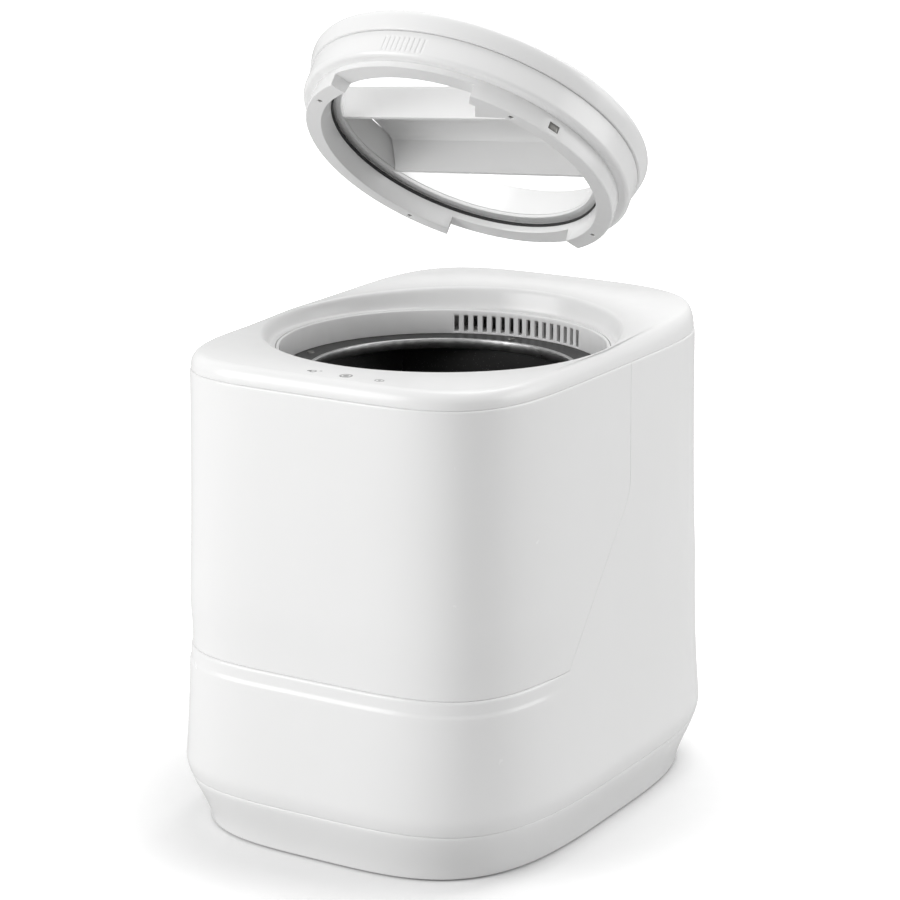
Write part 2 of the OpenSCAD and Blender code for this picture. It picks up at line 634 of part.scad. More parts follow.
// Gear across X with its teeth starting at x0, a hub and a bore
module gear(teeth, phase, x0, width, y, hub_r, hub_len, bore) difference() {
    union() {
        along_x(x0, width) translate([y, shaft_z]) polygon(gear_points(teeth, phase));
        disc_x(x0 - (hub_len - width) / 2, hub_len, hub_r, y, shaft_z);
    }
    disc_x(x0 - 30, width + 60, bore, y, shaft_z);
}
module shaft_gear() color("gold") difference() {
    gear(shaft_teeth, 0, gear_x, gear_w, mouth_y, 17, gear_w + 4, shaft_r + 0.03);
    for (a = [0:60:300]) disc_x(gear_x - 5, gear_w + 10, 11,
        mouth_y + shaft_gear_r * 0.6 * cos(a), shaft_z + shaft_gear_r * 0.6 * sin(a));
}
module idler_gear() color("ivory")
    gear(idler_teeth, idler_phase, gear_x, gear_w, idler_y, 12, gear_w + 2, axle_r + run_gap);
module motor_pinion() color("goldenrod")
    gear(pinion_teeth, pinion_phase, gear_x - 1, gear_w + 2, motor_y, 12, gear_w + 4, axle_r + 0.03);
module motor_shaft() color("silver")
    disc_x(end_x - 20, gear_x + gear_w + 3 - end_x + 20, axle_r, motor_y, shaft_z);

module drive_plate() color("lightsteelblue") difference() {
    along_x(end_x + touch, drive_plate_t) {
        translate([mouth_y, shaft_z - drive_plate_half])
            square([motor_y - mouth_y + motor_r, 2 * drive_plate_half]);
        translate([mouth_y, shaft_z]) circle(drive_plate_r);
    }
    disc_x(end_x - 5, 20, bearing_r + touch, mouth_y, shaft_z);
    disc_x(end_x - 5, 20, axle_r + touch, idler_y, shaft_z);
    disc_x(end_x - 5, 20, axle_r + 2, motor_y, shaft_z);
}
module idler_axle() color("silver")
    disc_x(end_x + touch, gear_x + gear_w + 4 - end_x, axle_r, idler_y, shaft_z);
module axle_clip() color("dimgray") difference() {
    disc_x(gear_x + gear_w + 1.3, 1.2, axle_r + 4, idler_y, shaft_z);
    disc_x(gear_x + gear_w, 4, axle_r + touch, idler_y, shaft_z);
}
module gearmotor() color("darkgray") difference() {
    union() {
        disc_x(end_x - 38, 38 - touch, motor_r, motor_y, shaft_z);
        disc_x(end_x - motor_len, motor_len - 37, motor_r - 5, motor_y, shaft_z);
        disc_x(end_x - motor_len - 5, 6, 9, motor_y, shaft_z);
    }
    disc_x(end_x - 25, 30, axle_r + run_gap, motor_y, shaft_z);
}

/* Electronics */

board_x = -body_w / 2 + shell_wall + 16.5;
board_mid_y = mouth_y - 8;
board_mid_z = shaft_z + 37;
module main_board() color("darkgreen") {
    box([board_x - 1.6, board_x], [board_mid_y - board_d / 2, board_mid_y + board_d / 2],
        [board_mid_z - board_h / 2, board_mid_z + board_h / 2]);
    for (p = [[-60, -60, 26, 30, 12], [-10, -55, 40, 26, 9], [40, 15, 22, 40, 14], [-50, 30, 34, 22, 8]])
        box([board_x - 1.6 - p[4], board_x - 1.6], span(board_mid_y + p[0] * board_d / 160, p[2]),
            span(board_mid_z + p[1] * board_h / 150, p[3]));
}
module board_posts() color("gold") for (y = [-1, 1]) for (z = [-1, 1])
    disc_x(board_x + touch, -end_x - board_x - 2 * touch, 3.5,
           board_mid_y + y * (board_d / 2 - 6), board_mid_z + z * (board_h / 2 - 6));

/* Air path */

duct_half = fan_size / 2;
duct_wide = collar_out_r * sin(grille_slots * grille_pitch / 2) + 9;
duct_top = seat_z - shell_wall - 1.6;
module air_duct() color("gainsboro") difference() {
    union() {
        box([-duct_wide, duct_wide], [mouth_y + trough_out_r, air_y], [collar_low_z + 1, duct_top]);
        box([air_x - duct_half, air_x + duct_half], [air_y - duct_half, air_y + duct_half],
            [fan_top_z + touch, duct_top]);
    }
    box([-duct_wide + duct_wall, duct_wide - duct_wall], [mouth_y, air_y - duct_wall],
        [collar_low_z + 1 + duct_wall, duct_top - duct_wall]);
    box([air_x - duct_half + duct_wall, air_x + duct_half - duct_wall],
        [air_y - duct_half + duct_wall, air_y + duct_half - duct_wall],
        [fan_top_z - 1, duct_top - duct_wall]);
    translate([0, mouth_y, collar_low_z - 5]) cylinder(h = collar_h + 20, r = collar_out_r + 0.1);
}

fan_r = fan_size / 2 - 2;
hub_r = 13;
module fan_frame() color([0.15, 0.15, 0.15]) translate([air_x, air_y, 0]) {
    translate([0, 0, fan_low_z]) linear_extrude(fan_t) difference() {
        square(fan_size, center = true);
        circle(fan_r);
    }
    difference() {
        for (a = [0, 90]) rotate([0, 0, a + 45]) translate([-fan_r - 1, -2, fan_low_z])
            cube([2 * fan_r + 2, 4, 3]);
        translate([0, 0, fan_low_z - 1]) cylinder(h = 10, r = hub_r - 1);
    }
    translate([0, 0, fan_low_z]) cylinder(h = 3, r = hub_r);
    translate([0, 0, fan_low_z + 2]) cylinder(h = fan_t - 8, r = 1.5);
}
module fan_rotor() color("dimgray") translate([air_x, air_y, fan_low_z + 3.4]) {
    difference() {
        cylinder(h = fan_t - 6, r = hub_r);
        translate([0, 0, -1]) cylinder(h = fan_t, r = 1.5 + run_gap);
    }
    for (k = [0:fan_blades - 1]) rotate([0, 0, k * 360 / fan_blades]) intersection() {
        translate([hub_r - 0.6, 0, (fan_t - 6) / 2]) rotate([38, 0, 0]) translate([0, -9, -0.9])
            cube([fan_r - hub_r - 1.4, 18, 1.8]);
        translate([0, 0, 0.5]) cylinder(h = fan_t - 7, r = fan_r - 1);
    }
}

module filter_canister() color("whitesmoke") translate([air_x, air_y, 0]) difference() {
    translate([0, 0, filter_low_z]) cylinder(h = filter_h - filter_cap_h, r = filter_r);
    for (z = [filter_low_z + 12:12:filter_top_z - 20]) tube(filter_r + 1, filter_r - 1.5, z, 3);
}
module filter_cap() color("gray") translate([air_x, air_y, 0])
    tube(filter_r + 1.2, 24, filter_top_z - filter_cap_h + touch, filter_cap_h + 2 - 2 * touch);

elbow_half = 28;
elbow_low_z = panel_low_z + 20;
elbow_back_y = body_d / 2 + flare(front_seam_z) - shell_wall - 2 - panel_t - 1.4;
module exhaust_elbow() color("gainsboro") difference() {
    box([air_x - elbow_half, air_x + elbow_half], [air_y - elbow_half, elbow_back_y],
        [elbow_low_z, filter_low_z - touch]);
    box([air_x - elbow_half + duct_wall, air_x + elbow_half - duct_wall],
        [air_y - elbow_half + duct_wall, elbow_back_y - duct_wall],
        [elbow_low_z + duct_wall, filter_low_z - duct_wall]);
    translate([air_x, air_y, filter_low_z - 10]) cylinder(h = 20, r = 22);
    box([air_x - elbow_half + 6, air_x + elbow_half - 6], [elbow_back_y - 10, elbow_back_y + 10],
        [elbow_low_z + 5, front_seam_z - 14]);
}

/* Rear panel */

panel_clear = 1.3;
function panel_y(z) = body_d / 2 + blend(flare(panel_low_z), flare(front_seam_z),
    (z - panel_low_z) / (front_seam_z - panel_low_z)) - shell_wall - panel_clear;
module rear_panel() color("whitesmoke") {
    z0 = panel_low_z - 4;
    z1 = front_seam_z + 4;
    through = [panel_y(z1) - 20, panel_y(z0) + 20];
    difference() {
        along_x(-64, 128) polygon([[panel_y(z0) - panel_t, z0], [panel_y(z0), z0],
                                   [panel_y(z1), z1], [panel_y(z1) - panel_t, z1]]);
        for (z = [panel_low_z + 25:7:front_seam_z - 18])
            box([air_x - elbow_half + 7, air_x + elbow_half - 7], through, [z, z + 3]);
        box([inlet_x - 14.2, inlet_x + 14.2], through, [inlet_z - 10.2, inlet_z + 10.2]);
        box([inlet_x - 10.7, inlet_x + 10.7], through, [switch_z - 8.2, switch_z + 8.2]);
    }
}

inlet_face_y = panel_y(inlet_z - 14) + 0.4;
module power_inlet() color([0.08, 0.08, 0.08]) difference() {
    union() {
        box([inlet_x - 14, inlet_x + 14], [inlet_face_y - 26, inlet_face_y], [inlet_z - 10, inlet_z + 10]);
        box([inlet_x - 17, inlet_x + 17], [inlet_face_y, inlet_face_y + 2], [inlet_z - 13, inlet_z + 13]);
    }
    box([inlet_x - 12, inlet_x + 12], [inlet_face_y - 18, inlet_face_y + 5], [inlet_z - 8, inlet_z + 8]);
}

switch_face_y = panel_y(switch_z - 10.5) + 0.4;
rocker_half = 8;
rocker_y = switch_face_y - 3;
module switch_bezel() color([0.08, 0.08, 0.08]) difference() {
    union() {
        box([inlet_x - 10.5, inlet_x + 10.5], [switch_face_y - 16, switch_face_y], [switch_z - 8, switch_z + 8]);
        box([inlet_x - 12.5, inlet_x + 12.5], [switch_face_y, switch_face_y + 1.6],
            [switch_z - 9.8, switch_z + 9.8]);
    }
    box([inlet_x - 9, inlet_x + 9], [rocker_y - 10, switch_face_y + 5], [switch_z - 6.6, switch_z + 6.6]);
}
module power_rocker() color([0.55, 0.08, 0.06]) translate([0, rocker_y, switch_z])
    rotate([rocker_tilt, 0, 0]) difference() {
        union() {
            along_x(inlet_x - rocker_half, 2 * rocker_half)
                polygon([[-4, -4.4], [5.2, -5.6], [3.9, 0], [5.2, 5.6], [-4, 4.4]]);
            disc_x(inlet_x - 8.9, 17.8, 1.6, 0, 0);
        }
        disc_x(inlet_x - 20, 40, 0.6, 0, 0);
    }

/* Lid, drawn closed about its own axis with its skirt bottom at zero, then set open */

bolt_w = 10;
bolt_h = 6;
module lid_place() translate([0, travel_y, travel_z]) rotate([-lid_open_angle, 0, 0])
    translate([0, lid_y - travel_y, lid_seat_z - travel_z]) children();

module wedge(half_angle, r) polygon(concat([[0, 0]],
    [for (a = [-half_angle, 0, half_angle]) r / cos(half_angle / 2) * [sin(a), -cos(a)]]));

skirt_in = window_r - skirt_lap;
upstand_top = window_low + window_t + touch + retainer_h;
skirt_low_in = skirt_in + skirt_draft;
function polar(r, a) = r * [cos(a), sin(a)];
module lid_skirt() color(white) lid_place() difference() {
    union() {
        rotate_extrude() polygon([[skirt_low_in, 0.6], [skirt_low_in + 0.6, 0], [skirt_r - 0.8, 0],
                                  [skirt_r, 0.8], [skirt_r, skirt_h - touch], [skirt_in, skirt_h - touch]]);
        linear_extrude(tab_t) polygon([
            polar(skirt_r - 1, notch_half_angle - 89.7), polar(skirt_low_in + 5, notch_half_angle - 74),
            polar(skirt_low_in - tab_reach, notch_half_angle - 86.2),
            polar(skirt_low_in + 5.7, notch_half_angle - 87.8)]);
    }
    for (turn = [0, 180]) rotate([0, 0, turn]) translate([0, 0, -1]) linear_extrude(notch_h + 1)
        wedge(notch_half_angle, far / 2);
    for (a = [45:90:315]) rotate([0, 0, a]) translate([(skirt_r + skirt_low_in) / 2, 0, -1])
        cylinder(h = 9, r = 2.4);
    for (a = [-bolt_angle, 180 + bolt_angle]) rotate([0, 0, a])
        translate([skirt_low_in + 1, -bolt_w / 2 - 0.2, bolt_low - 0.2])
            cube([20, bolt_w + 0.4, bolt_h + 0.4]);
}

module lid_ring() color(white) lid_place() difference() {
    rotate_extrude() polygon([
        [window_r + 0.5, skirt_h], [ring_r - 2.5, skirt_h], [ring_r, skirt_h + 2.6],
        [ring_r, skirt_h + ring_h], [ring_r - lid_wall, skirt_h + ring_h],
        [ring_r - lid_wall, skirt_h + lid_wall + 0.3], [window_r + lid_wall, skirt_h + lid_wall + 0.3],
        [window_r + lid_wall, upstand_top], [window_r + 0.5, upstand_top]]);
    for (k = [0:ring_slots - 1])
        rotate([0, 0, -87 + (k - (ring_slots - 1) / 2) * ring_slot_pitch])
            translate([ring_r - ring_slot_depth, -1.2, skirt_h + 5])
                cube([ring_slot_depth + 2, 2.4, ring_h - 9]);
    rotate([0, 0, 16.5]) translate([ring_r - 1, -4, skirt_h + ring_h - 6]) cube([3, 8, 4]);
}

module lid_gasket() color([0.03, 0.03, 0.03]) lid_place() rotate_extrude() polygon([
    [skirt_in - gasket_lip, skirt_h + 0.9], [skirt_in - gasket_lip + 0.9, skirt_h],
    [window_r - 0.6, skirt_h], [window_r - 0.6, skirt_h + gasket_h],
    [skirt_in - gasket_lip + 0.7, skirt_h + gasket_h], [skirt_in - gasket_lip, skirt_h + gasket_h - 0.7]]);

module lid_window() color([0.8, 0.85, 0.87, 0.35]) lid_place()
    translate([0, 0, window_low]) cylinder(h = window_t, r = window_r);

module window_retainer() color(white) lid_place()
    tube(window_r + 0.2, retainer_in, window_low + window_t + touch, retainer_h);

module lid_screws() color("dimgray") lid_place() for (a = [45:90:315])
    rotate([0, 0, a]) translate([(skirt_r + skirt_low_in) / 2, 0, 1]) cylinder(h = 6.95, r = 2.35);

// Cap: a hollow ring, its inner wall the side of the two wells, with a guide wall inside the middle ring
guide_out = ring_r - lid_wall - 0.3;
guide_in = guide_out - 2.4;
rim_z = cap_edge;
function well_wall(z) = well_low_r + well_draft * (z - well_low) / (rim_z - well_low);
module lid_cap() color(white) lid_place() {
    rotate_extrude() polygon([
        [cap_r - 3.5, cap_low], [cap_r, cap_edge - 4.5], [cap_r - 0.6, cap_edge - 1.6],
        [cap_r - 3, cap_edge + 0.6], [cap_r - 8, cap_edge + 2.2], [cap_r - 15, cap_edge + 2.8],
        [well_top_r + 4.5, cap_edge + 2.4], [well_top_r + 1.6, cap_edge + 1.5], [well_top_r, rim_z],
        [well_low_r, well_low], [well_low_r + lid_wall, well_low], [well_wall(rim_z - 2) + lid_wall, rim_z - 2],
        [cap_r - 9, cap_edge - 1], [cap_r - 5, cap_edge - 2.4], [cap_r - lid_wall, cap_edge - 5.5],
        [cap_r - 3.5 - lid_wall, cap_low]]);
    rotate_extrude() polygon([[guide_in, skirt_h + 6], [guide_out, skirt_h + 6],
        [guide_out, cap_edge - 0.5], [guide_in, cap_edge - 0.5]]);
    rotate_extrude() polygon([[guide_in, cap_low + 1], [cap_r - 4.5, cap_low + 1],
        [cap_r - 4.5, cap_low + 3], [guide_in, cap_low + 3]]);
}

// Cross-section of the handle bar, Y across and Z up, inset by w
module bar_section(w) polygon([for (side = [-1, 1]) for (p = side < 0
    ? [[0, bar_low - w * 9], [bar_draft * 0.8, cap_edge - 6], [bar_draft + 1, cap_edge - 1.5],
       [bar_draft + 4.5, cap_edge + 1.6], [bar_half * 0.4, cap_edge + dome_h * 0.6],
       [bar_half * 0.7, cap_edge + dome_h * 0.9]]
    : [[bar_half * 0.7, cap_edge + dome_h * 0.9], [bar_half * 0.4, cap_edge + dome_h * 0.6],
       [bar_draft + 4.5, cap_edge + 1.6], [bar_draft + 1, cap_edge - 1.5],
       [bar_draft * 0.8, cap_edge - 6], [0, bar_low - w * 9]])
    [side * (bar_half - w - p[0]), p[1] - (p[1] > bar_low ? w : 0)]]);
// Body of revolution that the bar fills, from well wall to well wall, inset by w
module bar_ends(w) rotate_extrude() polygon([
    [0, bar_low - w * 9], [retainer_in - 0.4 - w, bar_low - w * 9], [retainer_in - 0.4 - w, well_low],
    [well_low_r - touch - w, well_low], [well_wall(cap_edge - 1) - touch - w, cap_edge - 1 - w],
    [well_top_r - 8, cap_edge + dome_h * 0.3 - w], [well_top_r * 0.72, cap_edge + dome_h * 0.7 - w],
    [well_top_r * 0.38, cap_edge + dome_h * 0.93 - w], [0, cap_edge + dome_h - w]]);
module bar_solid(w) intersection() {
    along_x(-far / 2, far) bar_section(w);
    bar_ends(w);
}
module lid_handle() color(white) lid_place() rotate([0, 0, bar_turn]) difference() {
    bar_solid(0);
    bar_solid(lid_wall);
}

module lock_bolt() translate([skirt_low_in + 1.5, -bolt_w / 2, bolt_low])
    intersection() {
        cube([20, bolt_w, bolt_h]);
        translate([-skirt_low_in - 1.5, bolt_w / 2, -5]) cylinder(h = 20, r = skirt_r - 0.3);
    }
module lock_bolt_left() color("gainsboro") lid_place() rotate([0, 0, 180 + bolt_angle]) lock_bolt();
module lock_bolt_right() color("gainsboro") lid_place() rotate([0, 0, -bolt_angle]) lock_bolt();

base_tray();
feet();
base_screws();
body_shell();
front_cover();
deck();
feed_collar();
chamber_rim();
rim_band();
rim_screws();
touch_icons();
touch_board();
chamber();
chamber_cradle();
heater_mat();
temp_sensor();
shaft_seals();
bearing_left();
bearing_right();
drive_plate();
idler_axle();
axle_clip();
gearmotor();
main_board();
board_posts();
air_duct();
fan_frame();
filter_canister();
filter_cap();
exhaust_elbow();
rear_panel();
power_inlet();
switch_bezel();
mixing_shaft();
mixing_paddles();
shaft_gear();
idler_gear();
motor_pinion();
motor_shaft();
fan_rotor();
power_rocker();
lid_skirt();
lid_ring();
lid_gasket();
lid_window();
window_retainer();
lid_screws();
lid_cap();
lid_handle();
lock_bolt_left();
lock_bolt_right();
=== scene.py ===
# %% [markdown]
# # An electric food waste composter, dressed in Blender
# The real appliance is a rounded white housing with a feed opening in its deck and a thick round lid,
# shown lifted off and tilted. The construction comes packed, as separate named nodes, and this file
# gives it its looks. Faceted shells could be kept and shaded smooth, but their outlines would still show
# corners, so the white shells are worked out again here as fine numpy surfaces from the same sizes.

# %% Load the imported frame
import json
import math

import bpy
import numpy as np
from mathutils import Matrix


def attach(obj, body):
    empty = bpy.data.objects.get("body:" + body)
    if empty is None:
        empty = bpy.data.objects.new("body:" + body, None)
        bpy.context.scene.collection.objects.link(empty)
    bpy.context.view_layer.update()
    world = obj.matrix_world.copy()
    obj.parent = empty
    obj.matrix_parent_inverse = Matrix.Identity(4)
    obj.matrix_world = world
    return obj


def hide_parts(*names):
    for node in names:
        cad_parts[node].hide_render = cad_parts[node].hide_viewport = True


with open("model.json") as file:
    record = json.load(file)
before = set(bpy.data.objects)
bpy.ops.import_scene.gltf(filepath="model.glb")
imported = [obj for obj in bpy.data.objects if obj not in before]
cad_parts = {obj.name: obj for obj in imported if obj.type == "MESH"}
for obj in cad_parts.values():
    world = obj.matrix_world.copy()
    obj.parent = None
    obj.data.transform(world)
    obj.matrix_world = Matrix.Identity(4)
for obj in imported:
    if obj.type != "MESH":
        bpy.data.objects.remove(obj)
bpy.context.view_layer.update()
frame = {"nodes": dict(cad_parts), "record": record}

nodes = frame["nodes"]
scene = bpy.context.scene

# %% [markdown]
# ## The camera
# The photograph looks a little down on the deck, from the right of the front. A camera could be placed by
# eye. Here its place comes from matching the deck's straight edges, whose lines run together at two
# vanishing points, so the lens is a long one and the housing keeps nearly parallel sides.

# %% Place the camera
camera_data = bpy.data.cameras.new("photo_camera")
camera_data.lens = 114.6
camera_data.sensor_width = 36.0
camera = bpy.data.objects.new("photo_camera", camera_data)
camera.location = (1.2800, -2.1177, 0.9676)
camera.rotation_euler = (math.radians(75.214), 0.0, math.radians(31.151))
scene.collection.objects.link(camera)
scene.camera = camera
print("camera", round(camera.location.length, 3), "m from the origin")

# %% [markdown]
# ## Studio light and floor
# The appliance stands in a white studio with no visible horizon. Light could be one lamp and a bright
# world, but then the rounded corner would not darken between the two faces as it does on the photograph.
# Two large soft panels, one off to the left of the front and one behind on the right, each light one face,
# so the right front corner stays darkest, and a third one overhead lights the deck. The world fills the
# rest evenly.

# %% Panels of light
scene.view_settings.view_transform = "Standard"


def soft_panel(name, place, aim, size, watts):
    """A square area lamp at place, turned so that its light falls towards aim."""
    data = bpy.data.lights.new(name, "AREA")
    data.shape = "SQUARE"
    data.size = size
    data.energy = watts
    lamp = bpy.data.objects.new(name, data)
    lamp.location = place
    away = np.subtract(place, aim)
    away = away / np.linalg.norm(away)
    lamp.rotation_euler = (math.acos(away[2]), 0.0, math.atan2(away[1], away[0]) + math.pi / 2)
    scene.collection.objects.link(lamp)
    return lamp


middle = (0.0, 0.0, 0.35)
soft_panel("left_panel", (-1.65, -2.35, 1.1), middle, size=1.9, watts=51.0)
soft_panel("back_panel", (2.5, 1.3, 1.0), middle, size=1.7, watts=21.5)
soft_panel("top_panel", (0.2, 0.9, 2.5), middle, size=1.8, watts=34.0)

# %% [markdown]
# ## A helper for node materials
# Every finish here is a small tree of shader nodes. They could be placed and linked one line at a time, but
# then the numbers that matter drown among the links. This helper adds a node with its values and its links
# in one call, so a finish reads as a short recipe.


# %% Helpers for node materials
def adder(tree):
    """Gives back a function that adds nodes to the tree."""
    def add(kind, links=None, **values):
        """A node of that kind, with attributes or input values set and inputs linked by name."""
        node = tree.nodes.new(kind)
        for key, value in values.items():
            if hasattr(node, key):
                setattr(node, key, value)
            else:
                node.inputs[key.replace("_", " ")].default_value = value
        for key, socket in (links or {}).items():
            tree.links.new(socket, node.inputs[key])
        return node

    return add


def material(name):
    """A new node material: itself, its node tree, its Principled shader and the helper that adds nodes."""
    made = bpy.data.materials.new(name)
    made.use_nodes = True
    tree = made.node_tree
    return made, tree, tree.nodes["Principled BSDF"], adder(tree)


def tone_of(add, factor, first, second):
    """A colour that goes from the first to the second, given as (red, green, blue), as the factor grows."""
    tone = add("ShaderNodeMix", {"Factor": factor}, data_type="RGBA")
    tone.inputs["A"].default_value = (*first, 1.0)
    tone.inputs["B"].default_value = (*second, 1.0)
    return tone.outputs["Result"]


def seen_directly(add):
    """1 for rays from the camera and through the clear window, 0 for rays that only carry light."""
    path = add("ShaderNodeLightPath")
    seen = add("ShaderNodeMath", {0: path.outputs["Is Camera Ray"], 1: path.outputs["Is Transmission Ray"]},
               operation="MAXIMUM")
    return seen.outputs[0]


print("helpers ready:", [helper.__name__ for helper in (adder, material, tone_of, seen_directly)])

# %% [markdown]
# ## White surroundings
# In the photograph the floor and the distance are one white. A bright world alone would do that, but it
# would also wash the object out, so the world has two strengths: white for the camera and for rays that
# pass through the clear window, and a plain fill for everything it lights. The floor works the same way. It
# is darker for the light it throws back, and for the eye it turns to pure white with the distance.

# %% White world and floor
world = bpy.data.worlds.new("studio")
scene.world = world
world.use_nodes = True
fill_level = 0.54
world_tree = world.node_tree
add = adder(world_tree)
white = (1.0, 1.0, 1.0, 1.0)
fill_sky = world_tree.nodes["Background"]
fill_sky.inputs["Color"].default_value = white
fill_sky.inputs["Strength"].default_value = fill_level
white_sky = add("ShaderNodeBackground", Color=white)
both = add("ShaderNodeMixShader", {0: seen_directly(add), 1: fill_sky.outputs[0], 2: white_sky.outputs[0]})
world_tree.links.new(both.outputs[0], world_tree.nodes["World Output"].inputs["Surface"])


def floor_finish():
    """White paper: matt, darker for the light it throws back than for the eye. For the eye it glows more the
    further it lies from the origin, so the soft shadow stays and the distance is white."""
    made, tree, shader, add = material("white_paper")
    where = add("ShaderNodeTexCoord")
    grain = add("ShaderNodeTexNoise", {"Vector": where.outputs["Object"]}, Scale=60.0, Detail=3.0)
    seen = seen_directly(add)
    tone = add("ShaderNodeMapRange", {"Value": grain.outputs["Fac"]}, To_Min=0.95, To_Max=0.97)
    dim = add("ShaderNodeMapRange", {"Value": seen}, To_Min=0.60, To_Max=1.0)
    shade = add("ShaderNodeMath", {0: tone.outputs[0], 1: dim.outputs[0]}, operation="MULTIPLY")
    tree.links.new(shade.outputs[0], shader.inputs["Base Color"])
    shader.inputs["Roughness"].default_value = 1.0
    shader.inputs["Specular IOR Level"].default_value = 0.0
    away = add("ShaderNodeVectorMath", {0: where.outputs["Object"]}, operation="LENGTH")
    spread = add("ShaderNodeMapRange", {"Value": away.outputs["Value"]}, interpolation_type="SMOOTHSTEP",
                 From_Min=0.22, From_Max=0.58, To_Min=0.0, To_Max=0.9)
    glow = add("ShaderNodeMath", {0: spread.outputs[0], 1: seen}, operation="MULTIPLY")
    shader.inputs["Emission Color"].default_value = white
    tree.links.new(glow.outputs[0], shader.inputs["Emission Strength"])
    return made


floor_half, floor_z = 14.0, -0.0004
floor_mesh = bpy.data.meshes.new("paper_floor")
corners = [(x * floor_half, y * floor_half, floor_z) for x, y in ((-1, -1), (1, -1), (1, 1), (-1, 1))]
floor_mesh.from_pydata(corners, [], [(0, 1, 2, 3)])
floor_mesh.materials.append(floor_finish())
paper_floor = bpy.data.objects.new("paper_floor", floor_mesh)
scene.collection.objects.link(paper_floor)
print("floor", 2 * floor_half, "m wide")

# %% [markdown]
# ## White plastic
# The shells are injection moulded in a glossy white plastic. A plain white Principled shader would do from
# afar. Up close a moulding has a slight unevenness in tone and a very fine ripple that softens what it
# reflects, so noise on the Object coordinates drives the tone, the roughness and a faint bump.


# %% White plastic finish
def white_plastic():
    """Glossy moulded white: tone, roughness and bump each follow their own noise."""
    made, tree, shader, add = material("white_plastic")
    where = add("ShaderNodeTexCoord")
    clouds = add("ShaderNodeTexNoise", {"Vector": where.outputs["Object"]}, Scale=7.0, Detail=3.0)
    tone = tone_of(add, clouds.outputs["Fac"], (0.835, 0.835, 0.83), (0.865, 0.865, 0.865))
    tree.links.new(tone, shader.inputs["Base Color"])
    streaks = add("ShaderNodeTexNoise", {"Vector": where.outputs["Object"]}, Scale=40.0, Detail=4.0)
    gloss = add("ShaderNodeMapRange", {"Value": streaks.outputs["Fac"]}, To_Min=0.20, To_Max=0.30)
    tree.links.new(gloss.outputs[0], shader.inputs["Roughness"])
    peel = add("ShaderNodeTexNoise", {"Vector": where.outputs["Object"]}, Scale=900.0, Detail=2.0)
    bump = add("ShaderNodeBump", {"Height": peel.outputs["Fac"]}, Strength=0.03, Distance=0.0002)
    tree.links.new(bump.outputs[0], shader.inputs["Normal"])
    return made


WHITE = white_plastic()
print("made", WHITE.name)

# %% [markdown]
# ## Finishes of the other parts
# Rubber, metals and the other plastics differ in their tone, sheen and grain, but not in kind. Each could
# have a tree of its own. One recipe with different numbers keeps them in one family, and a stretch draws
# the grain out where the real part is brushed or turned.


# %% One recipe for grained finishes
def grained(name, dark, light, rough, scale=300.0, stretch=(1, 1, 1), bump=0.1, metal=0.0):
    """Tone from dark to light and roughness over its range, both led by fine grain mixed with broad clouds
    of noise on the Object coordinates; stretch draws the grain out, as brushing or turning does."""
    made, tree, shader, add = material(name)
    where = add("ShaderNodeTexCoord")
    drawn = add("ShaderNodeMapping", {"Vector": where.outputs["Object"]}, Scale=stretch)
    grain = add("ShaderNodeTexNoise", {"Vector": drawn.outputs[0]}, Scale=scale, Detail=4.0)
    cloud = add("ShaderNodeTexNoise", {"Vector": where.outputs["Object"]}, Scale=scale / 12, Detail=2.0)
    both = add("ShaderNodeMix", {"A": grain.outputs["Fac"], "B": cloud.outputs["Fac"]}, Factor=0.4)
    tree.links.new(tone_of(add, both.outputs["Result"], dark, light), shader.inputs["Base Color"])
    sheen = add("ShaderNodeMapRange", {"Value": both.outputs["Result"]}, To_Min=rough[0], To_Max=rough[1])
    tree.links.new(sheen.outputs[0], shader.inputs["Roughness"])
    relief = add("ShaderNodeBump", {"Height": grain.outputs["Fac"]}, Strength=bump, Distance=0.0002)
    tree.links.new(relief.outputs[0], shader.inputs["Normal"])
    shader.inputs["Metallic"].default_value = metal
    return made


def grey(low, high, tint=(1.0, 1.0, 1.0)):
    """The dark and the light tone of a finish, both with the same tint."""
    return tuple(low * t for t in tint), tuple(high * t for t in tint)


print("the same recipe makes every plain finish")

# %% Plain finishes by material slot
FINISHES = {
    "black_rubber": grained("black_rubber", *grey(0.018, 0.035), (0.65, 0.85), 700.0, bump=0.25),
    "black_plastic": grained("black_plastic", *grey(0.014, 0.026), (0.32, 0.48), 900.0, bump=0.15),
    "stainless": grained("stainless", *grey(0.50, 0.66), (0.22, 0.38), 500.0, (0.06, 1, 1), 0.08, 1.0),
    "zinc_steel": grained("zinc_steel", *grey(0.16, 0.26, (1.0, 0.99, 0.95)), (0.3, 0.5), 400.0, metal=1.0),
    "painted_steel": grained("painted_steel", *grey(0.30, 0.36, (0.92, 1.0, 1.1)), (0.35, 0.5), 800.0),
    "brass": grained("brass", (0.58, 0.43, 0.18), (0.74, 0.58, 0.28), (0.25, 0.4), 500.0, metal=1.0),
    "motor_metal": grained("motor_metal", *grey(0.25, 0.34), (0.35, 0.5), 350.0, (1, 1, 4), 0.12, 0.8),
    "duct_plastic": grained("duct_plastic", *grey(0.66, 0.74, (1.0, 1.0, 0.98)), (0.45, 0.6), 600.0),
    "gear_steel": grained("gear_steel", *grey(0.38, 0.50, (1.05, 1.0, 0.94)), (0.28, 0.42), 600.0,
                          (4, 1, 1), 0.1, 1.0),
    "gear_nylon": grained("gear_nylon", *grey(0.74, 0.84, (1.02, 1.0, 0.9)), (0.4, 0.55), 500.0),
    "fan_plastic": grained("fan_plastic", *grey(0.04, 0.06), (0.35, 0.5), 700.0, bump=0.15),
    "red_plastic": grained("red_plastic", (0.42, 0.03, 0.022), (0.5, 0.045, 0.03), (0.2, 0.3), 500.0,
                           bump=0.04),
    "icon_grey": grained("icon_grey", *grey(0.30, 0.36), (0.35, 0.45), 900.0, bump=0.05)}
